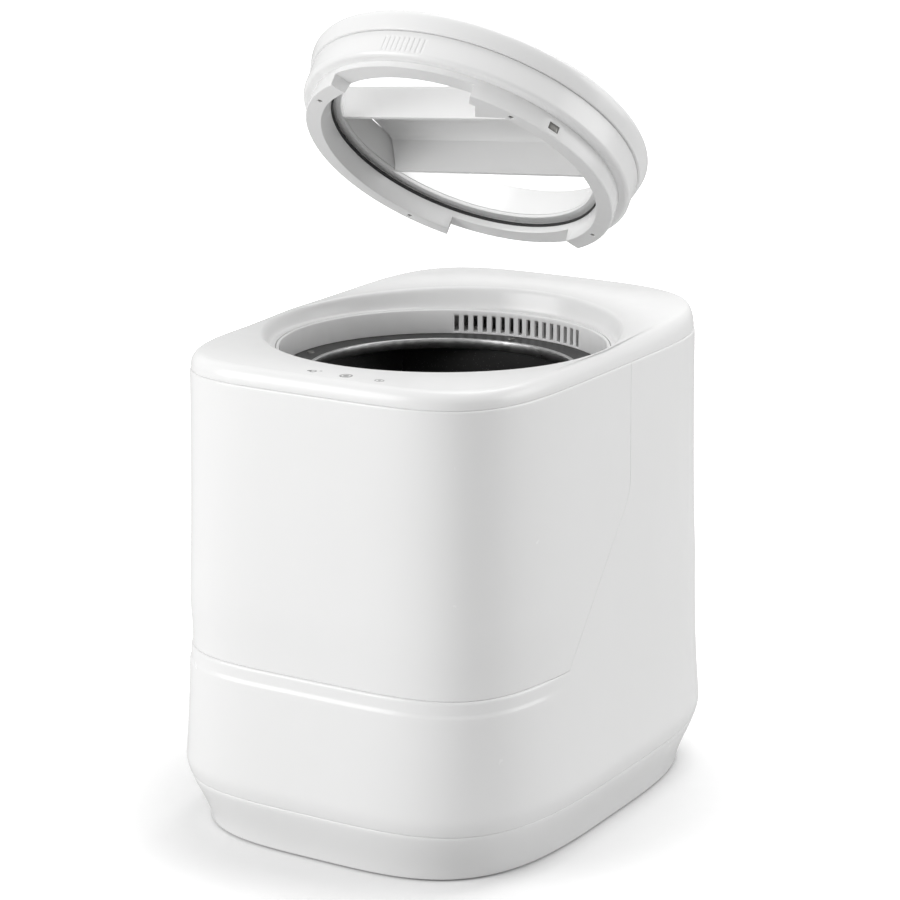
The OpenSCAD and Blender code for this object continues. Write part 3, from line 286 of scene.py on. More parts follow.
print(len(FINISHES), "plain finishes")

# %% [markdown]
# ## Finishes with a pattern
# A few parts show a pattern: specks in the trough's coating, the weave of the heater mat, tracks under the
# boards' solder mask, and the window, which is clear. Photographs of such surfaces would be the usual way.
# Voronoi cells, crossed waves and bricks do it without a file, and at any size.


# %% Finishes with a pattern
def speckled_coating():
    """Non-stick coating of the trough: nearly black, satin, a light speck in each small Voronoi cell."""
    made = grained("dark_coating", *grey(0.020, 0.034), (0.30, 0.42), 500.0, bump=0.12)
    tree = made.node_tree
    add, colour = adder(tree), tree.nodes["Principled BSDF"].inputs["Base Color"]
    where = add("ShaderNodeTexCoord")
    cells = add("ShaderNodeTexVoronoi", {"Vector": where.outputs["Object"]}, Scale=380.0)
    speck = add("ShaderNodeMapRange", {"Value": cells.outputs["Distance"]},
                From_Min=0.10, From_Max=0.16, To_Min=1.0, To_Max=0.0)
    mix = add("ShaderNodeMix", {"Factor": speck.outputs[0]}, data_type="RGBA")
    tree.links.new(colour.links[0].from_socket, mix.inputs["A"])
    mix.inputs["B"].default_value = (0.16, 0.16, 0.16, 1.0)
    tree.links.new(mix.outputs["Result"], colour)
    return made


def woven_silicone():
    """Heater mat: silicone over glass cloth, whose weave is two crossed bands of waves."""
    made, tree, shader, add = material("heater_silicone")
    where = add("ShaderNodeTexCoord")
    across = add("ShaderNodeTexWave", {"Vector": where.outputs["Object"]}, Scale=320.0, bands_direction="X")
    along = add("ShaderNodeTexWave", {"Vector": where.outputs["Object"]}, Scale=320.0, bands_direction="Y")
    weave = add("ShaderNodeMath", {0: across.outputs["Fac"], 1: along.outputs["Fac"]}, operation="MULTIPLY")
    tone = tone_of(add, weave.outputs[0], (0.34, 0.08, 0.025), (0.48, 0.14, 0.05))
    tree.links.new(tone, shader.inputs["Base Color"])
    shader.inputs["Roughness"].default_value = 0.7
    relief = add("ShaderNodeBump", {"Height": weave.outputs[0]}, Strength=0.3, Distance=0.0003)
    tree.links.new(relief.outputs[0], shader.inputs["Normal"])
    return made


def circuit_green():
    """Solder mask over copper: the tracks are the joints of a brick pattern, in a slightly paler green."""
    made, tree, shader, add = material("circuit_green")
    where = add("ShaderNodeTexCoord")
    turned = add("ShaderNodeMapping", {"Vector": where.outputs["Object"]}, Rotation=(0.0, math.pi / 2, 0.0))
    tracks = add("ShaderNodeTexBrick", {"Vector": turned.outputs[0]}, Scale=90.0, offset=0.5)
    tracks.inputs["Mortar Size"].default_value = 0.06
    tone = tone_of(add, tracks.outputs["Fac"], (0.012, 0.11, 0.045), (0.03, 0.20, 0.08))
    tree.links.new(tone, shader.inputs["Base Color"])
    fibre = add("ShaderNodeTexNoise", {"Vector": where.outputs["Object"]}, Scale=500.0, Detail=2.0)
    sheen = add("ShaderNodeMapRange", {"Value": fibre.outputs["Fac"]}, To_Min=0.25, To_Max=0.4)
    tree.links.new(sheen.outputs[0], shader.inputs["Roughness"])
    relief = add("ShaderNodeBump", {"Height": tracks.outputs["Fac"]}, Strength=0.3, Distance=0.0001)
    tree.links.new(relief.outputs[0], shader.inputs["Normal"])
    return made


def clear_plastic():
    """Clear window: hardly there when seen square on, and more solid the flatter it is seen."""
    made, tree, shader, add = material("clear_plastic")
    where = add("ShaderNodeTexCoord")
    haze = add("ShaderNodeTexNoise", {"Vector": where.outputs["Object"]}, Scale=9.0, Detail=2.0)
    tone = tone_of(add, haze.outputs["Fac"], (0.90, 0.91, 0.91), (0.96, 0.97, 0.97))
    tree.links.new(tone, shader.inputs["Base Color"])
    gloss = add("ShaderNodeMapRange", {"Value": haze.outputs["Fac"]}, To_Min=0.03, To_Max=0.07)
    tree.links.new(gloss.outputs[0], shader.inputs["Roughness"])
    facing = add("ShaderNodeLayerWeight", Blend=0.5)
    solid = add("ShaderNodeMapRange", {"Value": facing.outputs["Facing"]}, interpolation_type="SMOOTHSTEP",
                From_Min=0.55, From_Max=1.0, To_Min=0.02, To_Max=0.45)
    tree.links.new(solid.outputs[0], shader.inputs["Alpha"])
    return made


FINISHES.update({"white_plastic": WHITE, "dark_coating": speckled_coating(),
                 "heater_silicone": woven_silicone(), "circuit_green": circuit_green(),
                 "clear_plastic": clear_plastic()})
print(len(FINISHES), "finishes in all")

# %% [markdown]
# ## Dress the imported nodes
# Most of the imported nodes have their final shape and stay. Each takes the finish of its material slot, its
# loose triangles are merged by a Weld modifier, and where a moulded or machined edge would show, a small
# Bevel rounds it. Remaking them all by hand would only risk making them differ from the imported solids.

# %% Rounded edges
MM = 0.001


def soften(piece, width, angle=40.0):
    """Rounds the edges of a piece that bend by more than the angle, over a width in millimetres."""
    bevel = piece.modifiers.new("soft_edges", "BEVEL")
    bevel.width = width * MM
    bevel.segments = 2
    bevel.limit_method = "ANGLE"
    bevel.angle_limit = math.radians(angle)
    bevel.harden_normals = True


print("edges are found by their angle and rounded in millimetres")

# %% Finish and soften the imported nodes
edge_widths = {
    "feed_collar": 0.5, "chamber_rim": 0.8, "rim_band": 0.3, "rim_screws": 0.4, "feet": 1.0,
    "base_screws": 0.4, "chamber": 0.5, "chamber_cradle": 0.4, "shaft_seals": 0.5,
    "bearing_left": 0.6, "bearing_right": 0.6,
    "drive_plate": 0.4, "gearmotor": 0.8, "air_duct": 0.8, "fan_frame": 0.6, "filter_canister": 0.6,
    "filter_cap": 0.5, "exhaust_elbow": 0.8, "rear_panel": 0.5, "power_inlet": 0.7, "switch_bezel": 0.6,
    "power_rocker": 0.4, "mixing_shaft": 0.6, "mixing_paddles": 0.7, "motor_shaft": 0.4, "idler_axle": 0.4,
    "shaft_gear": 0.2, "idler_gear": 0.2, "motor_pinion": 0.2, "lid_skirt": 0.9, "window_retainer": 0.3,
    "lock_bolt_left": 0.3, "lock_bolt_right": 0.3, "temp_sensor": 0.3, "board_posts": 0.3}
slot_of = {part["node"]: part["material_slot"] for part in frame["record"]["subparts"]}
for node, packed in nodes.items():
    finish = FINISHES[slot_of[node]]
    if packed.material_slots:
        for place in packed.material_slots:
            place.material = finish
    else:
        packed.data.materials.append(finish)
    weld = packed.modifiers.new("merged", "WELD")
    weld.merge_threshold = 0.01 * MM
    if node in edge_widths:
        soften(packed, edge_widths[node], angle=38.0)
print(len(nodes), "packed nodes dressed")

# %% [markdown]
# ## Surfaces from formulas
# Every shell is a grid of points: rings that go round the piece, and rows that follow its section. Quads
# join neighbours. They could be made one by one in a loop, but whole index arrays are quicker and show the
# pattern at once: a shape is only its points, and the same few builders make every mesh.


# %% A mesh from points and faces
def new_piece(name, points, faces, finish, body, replaced=(), sharp=35.0):
    """Puts points in millimetres and faces into a mesh, shaded smooth except over edges past the angle."""
    mesh = bpy.data.meshes.new(name)
    mesh.from_pydata((np.asarray(points) * MM).tolist(), [], [list(f) for f in faces])
    mesh.polygons.foreach_set("use_smooth", np.ones(len(mesh.polygons), bool))
    mesh.set_sharp_from_angle(angle=math.radians(sharp))
    mesh.materials.append(finish)
    mesh.validate()
    piece = bpy.data.objects.new(name, mesh)
    scene.collection.objects.link(piece)
    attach(piece, body)
    if replaced:
        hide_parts(*replaced)
    print(name, len(mesh.vertices), "points,", len(mesh.polygons), "faces")
    return piece


print("points are in millimetres, and a mesh is in metres: 1 mm is", MM, "m")

# %% [markdown]
# ## Rings and skins
# Two kinds of grid are enough. A closed loop of rings makes a solid with a hole, such as a lathed ring. A
# skin has an outer and an inner side and closed edges, and cells may be left out of it, which is how the
# wall gets its openings. Solidify could give a wall its thickness, but it would not keep both sides exact.


# %% Grid builders
def loop_faces(rings, columns, closed=True, first=0):
    """Quads between neighbouring rings of the same count; closed joins the last ring to the first.
    Rings that climb on the outside, counter-clockwise seen from above, get faces that point outwards."""
    ring = np.arange(rings if closed else rings - 1)[:, None]
    column = np.arange(columns)[None, :]
    above, beside = (ring + 1) % rings, (column + 1) % columns
    corner = [ring * columns + column, ring * columns + beside,
              above * columns + beside, above * columns + column]
    return first + np.stack(np.broadcast_arrays(*corner), -1).reshape(-1, 4)


def rounded(profile, radius, steps=4):
    """A closed outline with every corner turned into a short arc: each point P is replaced by the curve
    (1-s)²·A + 2s(1-s)·P + s²·B, where A and B lie on its two edges at the given distance or less."""
    p = np.asarray(profile, float)
    before, after = np.roll(p, 1, 0) - p, np.roll(p, -1, 0) - p
    reach = np.broadcast_to(np.asarray(radius, float), len(p))
    s = np.linspace(0.0, 1.0, steps)[None, :, None]

    def step(edge):
        length = np.linalg.norm(edge, axis=1)
        return p + edge * (np.minimum(reach, 0.45 * length) / length)[:, None]

    a, b = step(before)[:, None], step(after)[:, None]
    return ((1 - s) ** 2 * a + 2 * s * (1 - s) * p[:, None] + s ** 2 * b).reshape(-1, p.shape[1])


def skin_faces(keep, wrap):
    """Faces of a skin with two sides and closed edges over a grid of cells, where keep is true.
    The first half of the points is the outer grid and the second half the inner one."""
    rows, cells = keep.shape
    columns = cells if wrap else cells + 1
    half = (rows + 1) * columns
    row, cell = np.indices(keep.shape)

    def at(r, c, inner):
        return r * columns + c % columns + inner * half

    def quads(mask, *corners):
        return np.stack([at(row + r, cell + c, inner)[mask] for r, c, inner in corners], -1)

    below = np.vstack([np.zeros((1, cells), bool), keep[:-1]])
    above = np.vstack([keep[1:], np.zeros((1, cells), bool)])
    left, right = np.roll(keep, 1, 1), np.roll(keep, -1, 1)
    if not wrap:
        left[:, 0] = right[:, -1] = False
    return np.vstack([
        quads(keep, (0, 0, 0), (0, 1, 0), (1, 1, 0), (1, 0, 0)),
        quads(keep, (0, 0, 1), (1, 0, 1), (1, 1, 1), (0, 1, 1)),
        quads(keep & ~below, (0, 1, 0), (0, 0, 0), (0, 0, 1), (0, 1, 1)),
        quads(keep & ~above, (1, 0, 0), (1, 1, 0), (1, 1, 1), (1, 0, 1)),
        quads(keep & ~left, (0, 0, 0), (1, 0, 0), (1, 0, 1), (0, 0, 1)),
        quads(keep & ~right, (1, 1, 0), (0, 1, 0), (0, 1, 1), (1, 1, 1))])


def only_used(points, faces):
    """Drops the points that no face uses and numbers the rest again."""
    used, flat = np.unique(faces, return_inverse=True)
    return points[used], flat.reshape(faces.shape)


print("a ring of 4 by 8 points has", len(loop_faces(4, 8)), "faces")

# %% [markdown]
# ## The plan of the housing
# From above the housing is a superellipse: between an ellipse and a box, with faces that keep bulging a
# little. An exponent sets how square its corners are, softer near the base than at the deck. The side
# swells out to its widest line a hand's breadth above the floor and tucks in below it.

# %% Housing sizes, in millimetres
top_w, top_d = 335.0, 440.0
swell, swell_z, swell_fade, foot_out = 16.2, 60.0, 120.0, 1.5
corner_low, corner_high, corner_z = 3.5, 4.7, 200.0
wall = 3.0
base_seam_z, cover_seam_z, deck_seam_z = 46.0, 164.0, 410.0
seam_gap = 0.1
seam_low_y, seam_slope, seam_high_y = -91.0, 0.887, 24.0
foot_h, floor_t, deck_h = 3.0, 3.0, 16.0
rim_gap, rim_w = 1.0, 8.0
mouth_y = -12.0
hair = 0.12


def smooth(share):
    """Eases from 0 to 1: three times the square less twice the cube."""
    s = np.clip(share, 0.0, 1.0)
    return s * s * (3.0 - 2.0 * s)


def flare(z):
    """How far the wall stands out beyond the top size at height z: it eases in below the widest line and
    dies away above it as exp of minus the height over the fade length."""
    z = np.asarray(z, float)
    low = swell - (swell - foot_out) * smooth((swell_z - z) / swell_z)
    return np.where(z < swell_z, low, swell * np.exp(-(z - swell_z) / swell_fade))


def rolled(z, edge, height, depth):
    """Inset of a rounded edge: a quarter of an ellipse that starts that height away from the edge and has
    drawn in by the depth where it reaches it."""
    t = np.clip(1.0 - np.abs(np.asarray(z, float) - edge) / height, 0.0, 1.0)
    return depth * (1.0 - np.sqrt(1.0 - t * t))


def corner_power(z):
    """Exponent of the superellipse at height z."""
    return corner_low + (corner_high - corner_low) * np.minimum(1.0, np.asarray(z, float) / corner_z)


def plan_points(angle, z, inset, at_z=None):
    """Superellipse points: half width times cos to the power 2/n, half depth times sin to the power 2/n,
    with the signs kept. Angle in degrees; the arrays broadcast."""
    angle, z, inset = np.broadcast_arrays(np.radians(angle), np.asarray(z, float), inset)
    power = 2.0 / corner_power(z)
    stand = flare(z) - inset - hair
    x = (top_w / 2 + stand) * np.sign(np.cos(angle)) * np.abs(np.cos(angle)) ** power
    y = (top_d / 2 + stand) * np.sign(np.sin(angle)) * np.abs(np.sin(angle)) ** power
    return np.stack([x, y, z if at_z is None else np.broadcast_to(at_z, z.shape)], -1)


print("widest line stands out", float(flare(swell_z)), "mm")

# %% [markdown]
# ## Rear housing and front cover
# Two white shells make the walls. The front cover is a curved sheet whose side edges run level, climb
# backwards and then go straight up, and the rear housing has the matching edge. Cutting one surface with
# another would leave ragged edges, so the columns of the grid bend instead: one column follows that edge
# at every height, and the cells on either side of it go to one shell or the other.

# %% Columns that follow the edge of the cover
rear_cells, front_cells = 120, 120


def seam_angle(z, gap):
    """Angle of the plan at which the edge of the cover lies at height z, found from its place on Y: level,
    then a straight climb, then upright, with a parabola over the turn between the last two."""
    climb = np.maximum(z, cover_seam_z) - cover_seam_z
    turn = 14.0
    over = seam_low_y + seam_slope * climb - seam_high_y
    bent = np.where(over < -turn, over, -(turn - over) ** 2 / (4 * turn))
    y = seam_high_y + np.where(over > turn, 0.0, bent)
    share = (y + gap) / (top_d / 2 + flare(z))
    return np.degrees(np.sign(share) * np.arcsin(np.abs(share) ** (corner_power(z) / 2)))


def columns_at(z, gap):
    """Angles of the columns at each height: the rear sector first, from the right edge round the back to
    the left edge, then the front sector back to the right edge."""
    edge = seam_angle(z, gap)[:, None]
    rear = edge + (180.0 - 2 * edge) * np.arange(rear_cells)[None, :] / rear_cells
    front = 180.0 - edge + (180.0 + 2 * edge) * np.arange(front_cells + 1)[None, :] / front_cells
    return rear, front


def rows_between(*stops):
    """Heights from stop to stop; each stop is (height, number of steps to the next)."""
    rows = [np.linspace(a, b, n, endpoint=False) for (a, n), (b, _) in zip(stops, stops[1:])]
    return np.concatenate(rows + [[stops[-1][0]]])


print("the edge lies at", [round(float(seam_angle(z, 0.0)), 1) for z in (cover_seam_z, 300.0)], "degrees")

# %% [markdown]
# ## Rear housing
# One shell carries the back, the sides and the belt below the front cover. Where it meets the cover it dips
# in a little, so a soft band of light runs along the parting line, and both of its edges are rolled. A
# separate belt could be glued on, but on the real one nothing shows a joint there. Cells are simply left out
# for the cover and for the rear panel.

# %% Rows and dips of the rear housing
window_x, window_low_z = 61.0, 90.0
band_low, band_rise, band_in = 148.5, 5.0, 1.0
lip_h, lip_in = 3.0, 1.6
top_roll, top_in = 2.0, 1.2
low_z, high_z = base_seam_z + seam_gap, deck_seam_z - seam_gap
seam_low, seam_high = cover_seam_z - seam_gap / 2, cover_seam_z + seam_gap / 2
foot_roll, foot_in = 1.6, 0.7
shell_z = rows_between((low_z, 5), (low_z + foot_roll, 12), (window_low_z, 12), (band_low, 8),
                       (band_low + band_rise, 2), (seam_low - lip_h, 8), (seam_low, 40),
                       (high_z - top_roll, 8), (high_z, 1))
rear, front = columns_at(shell_z, seam_gap / 2)
angles = np.hstack([rear, front[:, :-1]])
share = (np.arange(front_cells) / front_cells)[None, :]
fade = smooth(np.sin(np.pi * share) * 4)
rows = shell_z[:, None]
lean = (band_in * smooth((rows - band_low) / band_rise) + rolled(rows, seam_low, lip_h, lip_in)) * fade
lean = np.hstack([np.zeros_like(rear), np.where(rows <= seam_low + 0.01, lean, 0.0)])
lean = lean + rolled(rows, high_z, top_roll, top_in) + rolled(rows, low_z, foot_roll, foot_in)
outer = plan_points(angles, rows, lean)
inner = plan_points(angles, rows, lean + wall)
print("deepest dip", round(float(lean.max()), 2), "mm")

# %% Cells of the rear housing
cell_row, cell_column = np.indices((len(shell_z) - 1, rear_cells + front_cells))
over_seam = shell_z[:-1][cell_row] > seam_low - 0.01
middle_x = (outer[:-1, :rear_cells, 0] + outer[:-1, 1:rear_cells + 1, 0]) / 2
in_window = np.zeros(cell_row.shape, bool)
in_window[:, :rear_cells] = np.abs(middle_x) < window_x
in_window &= (shell_z[:-1][cell_row] > window_low_z - 0.01) & ~over_seam
keep = ~((cell_column >= rear_cells) & over_seam) & ~in_window
points, faces = only_used(np.vstack([outer.reshape(-1, 3), inner.reshape(-1, 3)]), skin_faces(keep, True))
rear_housing = new_piece("rear_housing", points, faces, WHITE, "housing", ["body_shell"])
soften(rear_housing, 0.25)

# %% [markdown]
# ## Front cover
# The cover stands back a little at its lower edge and comes flush higher up, so the belt under it catches
# light on a narrow ledge. It could be cut out of the housing, but then both would share one edge exactly
# and the parting line would vanish. Here it is worked out from its own columns, a hair's breadth further in.

# %% Front cover
cover_in, cover_foot_in, cover_fade = 0.1, 2.2, 60.0
cover_roll, cover_edge_in = 1.2, 0.6
cover_z = rows_between((seam_high, 6), (seam_high + cover_roll, 44), (high_z - top_roll, 8), (high_z, 1))
_, front = columns_at(cover_z, -seam_gap / 2)
rows = cover_z[:, None]
fade = smooth(np.sin(np.pi * np.arange(front_cells + 1) / front_cells) * 4)[None, :]
lean = cover_in + cover_foot_in * (1 - smooth((rows - seam_high) / cover_fade)) * fade
lean = lean + rolled(rows, high_z, top_roll, top_in) + rolled(rows, seam_high, cover_roll, cover_edge_in)
outer = plan_points(front, rows, lean)
inner = plan_points(front, rows, lean + wall - 0.3)
keep = np.ones((len(cover_z) - 1, front_cells), bool)
points = np.vstack([outer.reshape(-1, 3), inner.reshape(-1, 3)])
front_shell = new_piece("front_shell", points, skin_faces(keep, False), WHITE, "housing",
                        ["front_cover"])
soften(front_shell, 0.25)

# %% [markdown]
# ## Base tray
# The tray is the tub under the lowest seam. Its foot stands on a narrow rim, its edges are rolled, and its
# underside is recessed. A box with bevels could be bent to the plan of the housing. Rings of the same plan,
# stacked along a section, match it exactly.

# %% Base tray
ring_columns = 288
turn = np.arange(ring_columns) * 360.0 / ring_columns


def plan_rings(heights, insets, at=None):
    """One ring of the plan for each height and inset."""
    at = heights if at is None else at
    return plan_points(turn[None, :], np.asarray(heights, float)[:, None],
                       np.asarray(insets, float)[:, None], np.asarray(at, float)[:, None])


rim_roll, edge_roll, edge_in = 1.4, 5.0, 1.3
tray_z = rows_between((rim_gap, 5), (rim_gap + rim_roll, 14), (base_seam_z - edge_roll, 9),
                      (base_seam_z, 1))
tray_in = rolled(tray_z, rim_gap, rim_roll, rim_roll) + rolled(tray_z, base_seam_z, edge_roll, edge_in)
inside_z = [base_seam_z, 30.0, 14.0, foot_h + floor_t + 2, foot_h + floor_t]
rings = np.concatenate([plan_rings([foot_h, rim_gap], [rim_w + 1, rim_w]), plan_rings(tray_z, tray_in),
                        plan_rings(inside_z, [wall, wall, wall, wall, wall + 2.5])])
faces = [list(f) for f in loop_faces(len(rings), ring_columns, closed=False)]
faces.append(list(range(ring_columns))[::-1])
faces.append(list(range((len(rings) - 1) * ring_columns, len(rings) * ring_columns)))
new_piece("tray", rings.reshape(-1, 3), faces, WHITE, "housing", ["base_tray"])

# %% [markdown]
# ## Deck
# The deck is the top cover. Its edge rolls over from the wall to a top that climbs gently towards the back,
# and the top runs in to the dished seat round the feed opening. A lathed solid would do for the seat alone,
# but these rings change from the plan of the housing to a circle, and the climb is added to their points.

# %% Deck sizes and helpers
deck_top = deck_seam_z + deck_h
seat_drop, seat_top = 12.0, deck_seam_z + deck_h - 12.0
deck_rise, rise_start_y = 12.0, -110.0
recess_r, collar_out_r = 160.0, 147.4


def circle_rings(radii, heights):
    """One circle about the axis of the mouth for each radius and height."""
    a = np.radians(turn)[None, :]
    r, z = np.asarray(radii, float)[:, None], np.asarray(heights, float)[:, None]
    return np.stack([r * np.cos(a), mouth_y + r * np.sin(a), z + 0 * a], -1)


def through(knots, count):
    """A smooth curve through section points, as a Catmull-Rom spline worked out for all shares at once."""
    k = np.asarray(knots, float)
    k = np.vstack([2 * k[0] - k[1], k, 2 * k[-1] - k[-2]])
    place = np.linspace(0, len(k) - 3.000001, count)
    i = place.astype(int)
    s = (place - i)[:, None]
    a, b, c, d = k[i], k[i + 1], k[i + 2], k[i + 3]
    bend, twist = 2 * a - 5 * b + 4 * c - d, 3 * b - a - 3 * c + d
    return 0.5 * (2 * b + (c - a) * s + bend * s ** 2 + twist * s ** 3)


def climbing(rings):
    """Rings of the deck with their top moved up towards the back: the climb grows as the distance from its
    start to the power 1.6, a little less towards the sides, and fades out down to the seat."""
    x, y, z = rings[..., 0], rings[..., 1], rings[..., 2]
    far = np.clip((y - rise_start_y) / (top_d / 2 - rise_start_y), 0.0, 1.0) ** 1.6
    climb = deck_rise * (1 - 0.22 * (x / (top_w / 2)) ** 2) * far * smooth((z - seat_top) / seat_drop)
    return np.stack([x, y, z + climb], -1)


print("the back edge climbs", deck_rise, "mm")

# %% Deck
roll = through([[0.7, 1.0], [3.5, 0.9], [7, 1.3], [10, 2.4], [12.5, 4.1], [14.3, 6.1], [15.4, 9.1]], 26)
edge = np.vstack([[[0.05, 1.25]], roll])
outside = plan_rings(np.full(len(edge), deck_seam_z), edge[:, 1], deck_seam_z + edge[:, 0])
dish = through([[2.4, 0.0], [0.6, -0.12], [-1.3, -0.7], [-3.2, -2.5], [-5, -6], [-6.4, -9.6], [-7.6, -11.3],
                [-9.6, -11.95]], 26)
bowl = circle_rings(recess_r + dish[:, 0], deck_top + dish[:, 1])
inside_r = collar_out_r + 0.3
seat = circle_rings([inside_r, inside_r], [seat_top, seat_top - wall + 0.2])
under = circle_rings([recess_r - 3.4, recess_r - 1.4, recess_r + 0.4, recess_r + 1.6],
                     [seat_top - wall + 0.2, seat_top + 1, seat_top + 6, deck_top - 3.6])
under_in, under_h = wall + top_in + 0.3, 10.0
lip_z = [deck_top - 3.9, deck_seam_z + 4, deck_seam_z - under_h, deck_seam_z - under_h, deck_seam_z]
lip = plan_rings(np.full(5, deck_seam_z), under_in + np.array([2.7, 2.7, 2.5, 0.0, 0.0]), lip_z)
rings = climbing(np.concatenate([outside, bowl, seat, under, lip]))
faces = loop_faces(len(rings), ring_columns)
new_piece("top_deck", rings.reshape(-1, 3), faces, WHITE, "housing", ["deck"])

# %% [markdown]
# ## Touch symbols
# Three small grey symbols are printed near the front edge of the deck. A picture on the deck could carry
# them, but thin rings that stand a hair proud stay sharp from close up and need no file.

# %% Touch symbols
symbol_x, symbol_y, symbol_pitch = 21.0, -200.0, 32.5
symbol_low, symbol_high = deck_top - 0.9, deck_top - 0.28
symbol_columns = 48


def flat_ring(x, y, out, hole, stretch=1.0):
    """A flat ring printed on the deck between two radii, drawn out along X by the stretch."""
    a = np.arange(symbol_columns) * 2 * np.pi / symbol_columns
    r = np.array([out, out, hole, hole])[:, None]
    z = np.array([symbol_low, symbol_high, symbol_high, symbol_low])[:, None]
    return np.stack([x + r * stretch * np.cos(a), y + r * np.sin(a), z + 0 * a], -1)


dot = 0.1
left_x, right_x = symbol_x - symbol_pitch, symbol_x + symbol_pitch
marks = [flat_ring(left_x, symbol_y, 3.4, 2.1, 0.9), flat_ring(left_x + 5.6, symbol_y + 3.4, 1.2, dot),
         flat_ring(left_x - 3.6, symbol_y - 0.4, 1.5, dot, 1.4),
         flat_ring(symbol_x, symbol_y, 5.6, 4.1), flat_ring(symbol_x, symbol_y, 2.7, dot, 0.9),
         flat_ring(right_x, symbol_y, 3.6, 2.9, 1.2), flat_ring(right_x, symbol_y, 1.2, dot)]
points = np.vstack([m.reshape(-1, 3) for m in marks])
faces = np.vstack([loop_faces(4, symbol_columns, first=k * 4 * symbol_columns) for k in range(len(marks))])
new_piece("touch_symbols", points, faces, FINISHES["icon_grey"], "housing", ["touch_icons"])

# %% [markdown]
# ## The lid
# The lid is a stack of rings: a skirt with two long notches, a middle ring with a few shallow grooves, and a
# hollow cap that overhangs it. Two deep wells open through the cap down to the clear window, and a wide bar
# crosses between them as a handle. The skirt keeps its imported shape. The rest is drawn closed, about the
# lid's own axis with the bottom of the skirt at zero, and one function then tips the finished points to the
# open place. Modelling it already tilted would hide every round number.

# %% Lid sizes and its open place
window_r, ring_r, cap_r = 127.0, 151.5, 157.0
skirt_h, ring_h, cap_h, dome_h, lid_wall = 17.0, 24.5, 18.0, 9.0, 3.0
window_low, window_t, retainer_h = 20.05, 2.5, 3.0
cap_low = skirt_h + ring_h + 0.5
cap_edge = cap_low + cap_h
well_low = window_low + window_t + 0.05 + retainer_h + 0.5
well_low_r, well_draft = 117.5, 15.5
bar_low, bar_half, bar_draft = window_low + window_t + 0.5, 45.5, 3.0
bar_turn = math.radians(-6.5)
open_angle = math.radians(40.0)
travel_y, travel_z, lid_seat_z = 232.0, 447.0, seat_top + 0.3 - skirt_h


def lid_to_row(points):
    """Closed lid coordinates turned back by the opening angle about the axis of travel behind the deck."""
    p = np.asarray(points, float)
    y, z = p[..., 1] + mouth_y - travel_y, p[..., 2] + lid_seat_z - travel_z
    c, s = math.cos(open_angle), math.sin(open_angle)
    return np.stack([p[..., 0], y * c + z * s + travel_y, -y * s + z * c + travel_z], -1)


def lathe(profile, angles):
    """A section of (radius, height) points turned about the lid's axis: one column per angle. A section
    that runs up its outside gives faces that point outwards. Radii and heights may change with the angle."""
    section = np.asarray(profile, float)
    if section.ndim == 2:
        section = np.repeat(section[:, None], len(angles), 1)
    a = np.radians(angles)[None, :]
    return np.stack([section[..., 0] * np.cos(a), section[..., 0] * np.sin(a), section[..., 1]], -1)


def lid_ring_piece(name, rings, body, replaced, sharp=35.0):
    """A closed loop of rings in lid coordinates made into a piece in its open place."""
    faces = loop_faces(rings.shape[0], rings.shape[1])
    points = lid_to_row(rings).reshape(-1, 3)
    return new_piece(name, points, faces, WHITE, body, replaced, sharp)


print("lid axis meets the foot of the skirt at", np.round(lid_to_row([0.0, 0.0, 0.0]), 1), "mm")

# %% [markdown]
# ## Middle ring
# The ring between skirt and cap is lathed. Its vent is a row of nine shallow grooves on one side. They could
# be cut with a boolean, which leaves long thin faces and dark smears in the shading. Instead the columns of
# the grid lie close together there, and the radius dips smoothly at each groove.

# %% Middle ring with grooves
groove_count, groove_pitch, groove_width, groove_in = 9, 1.8, 0.8, 0.5
groove_middle, groove_reach = -88.0, 12.0
groove_low, groove_high, groove_ease = 4.0, 5.4, 1.2
low, high = skirt_h, skirt_h + ring_h
section = rounded([[window_r + 0.5, low], [ring_r - 2.5, low], [ring_r, low + 2.6], [ring_r, high],
                   [ring_r - lid_wall, high], [ring_r - lid_wall, low + lid_wall + 0.3],
                   [window_r + lid_wall, low + lid_wall + 0.3], [window_r + lid_wall, well_low - 0.5],
                   [window_r + 0.5, well_low - 0.5]],
                  [0.3, 2.2, 1.8, 1.0, 0.3, 0.5, 0.5, 0.4, 0.4])
outer_side = np.nonzero((np.abs(section[:, 0] - ring_r) < 0.01) & (section[:, 1] > low + 3))[0]
split = outer_side[0] + 1
fill = np.stack([np.full(30, ring_r), np.linspace(low + 4.6, high - 1.6, 30)], 1)
section = np.vstack([section[:split], fill, section[split:]])
fine = groove_middle + np.linspace(-groove_reach, groove_reach, 385)
coarse = np.linspace(fine[-1], fine[0] + 360.0, 340)[1:-1]
around = np.concatenate([fine, coarse])
from_middle = (around - groove_middle + 180.0) % 360.0 - 180.0
last = groove_count // 2
nearest = from_middle - groove_pitch * np.clip(np.round(from_middle / groove_pitch), -last, last)
across = 1 - smooth((np.abs(nearest) - groove_width / 2 * 0.6) / (groove_width * 0.35))
along = (smooth((section[:, 1] - low - groove_low) / groove_ease)
         * smooth((high - groove_high - section[:, 1]) / groove_ease))
on_side = np.abs(section[:, 0] - ring_r) < 0.02
depth = groove_in * across[None, :] * (along * on_side)[:, None]
section = np.repeat(section[:, None], len(around), 1)
section[..., 0] -= depth
lid_ring_piece("middle_ring", lathe(section, around), "lid", ["lid_ring"], sharp=50.0)

# %% [markdown]
# ## Cap
# The cap is one hollow moulding: an outer skirt that overhangs the middle ring, a crowned top, the leaning
# walls of the wells, and a guide wall that turns inside the ring. Its whole section is one closed outline
# with rounded corners, turned about the axis, so no two parts of it have to be joined.

# %% Cap with the walls of its wells
cap_columns = 320
around = np.arange(cap_columns) * 360.0 / cap_columns


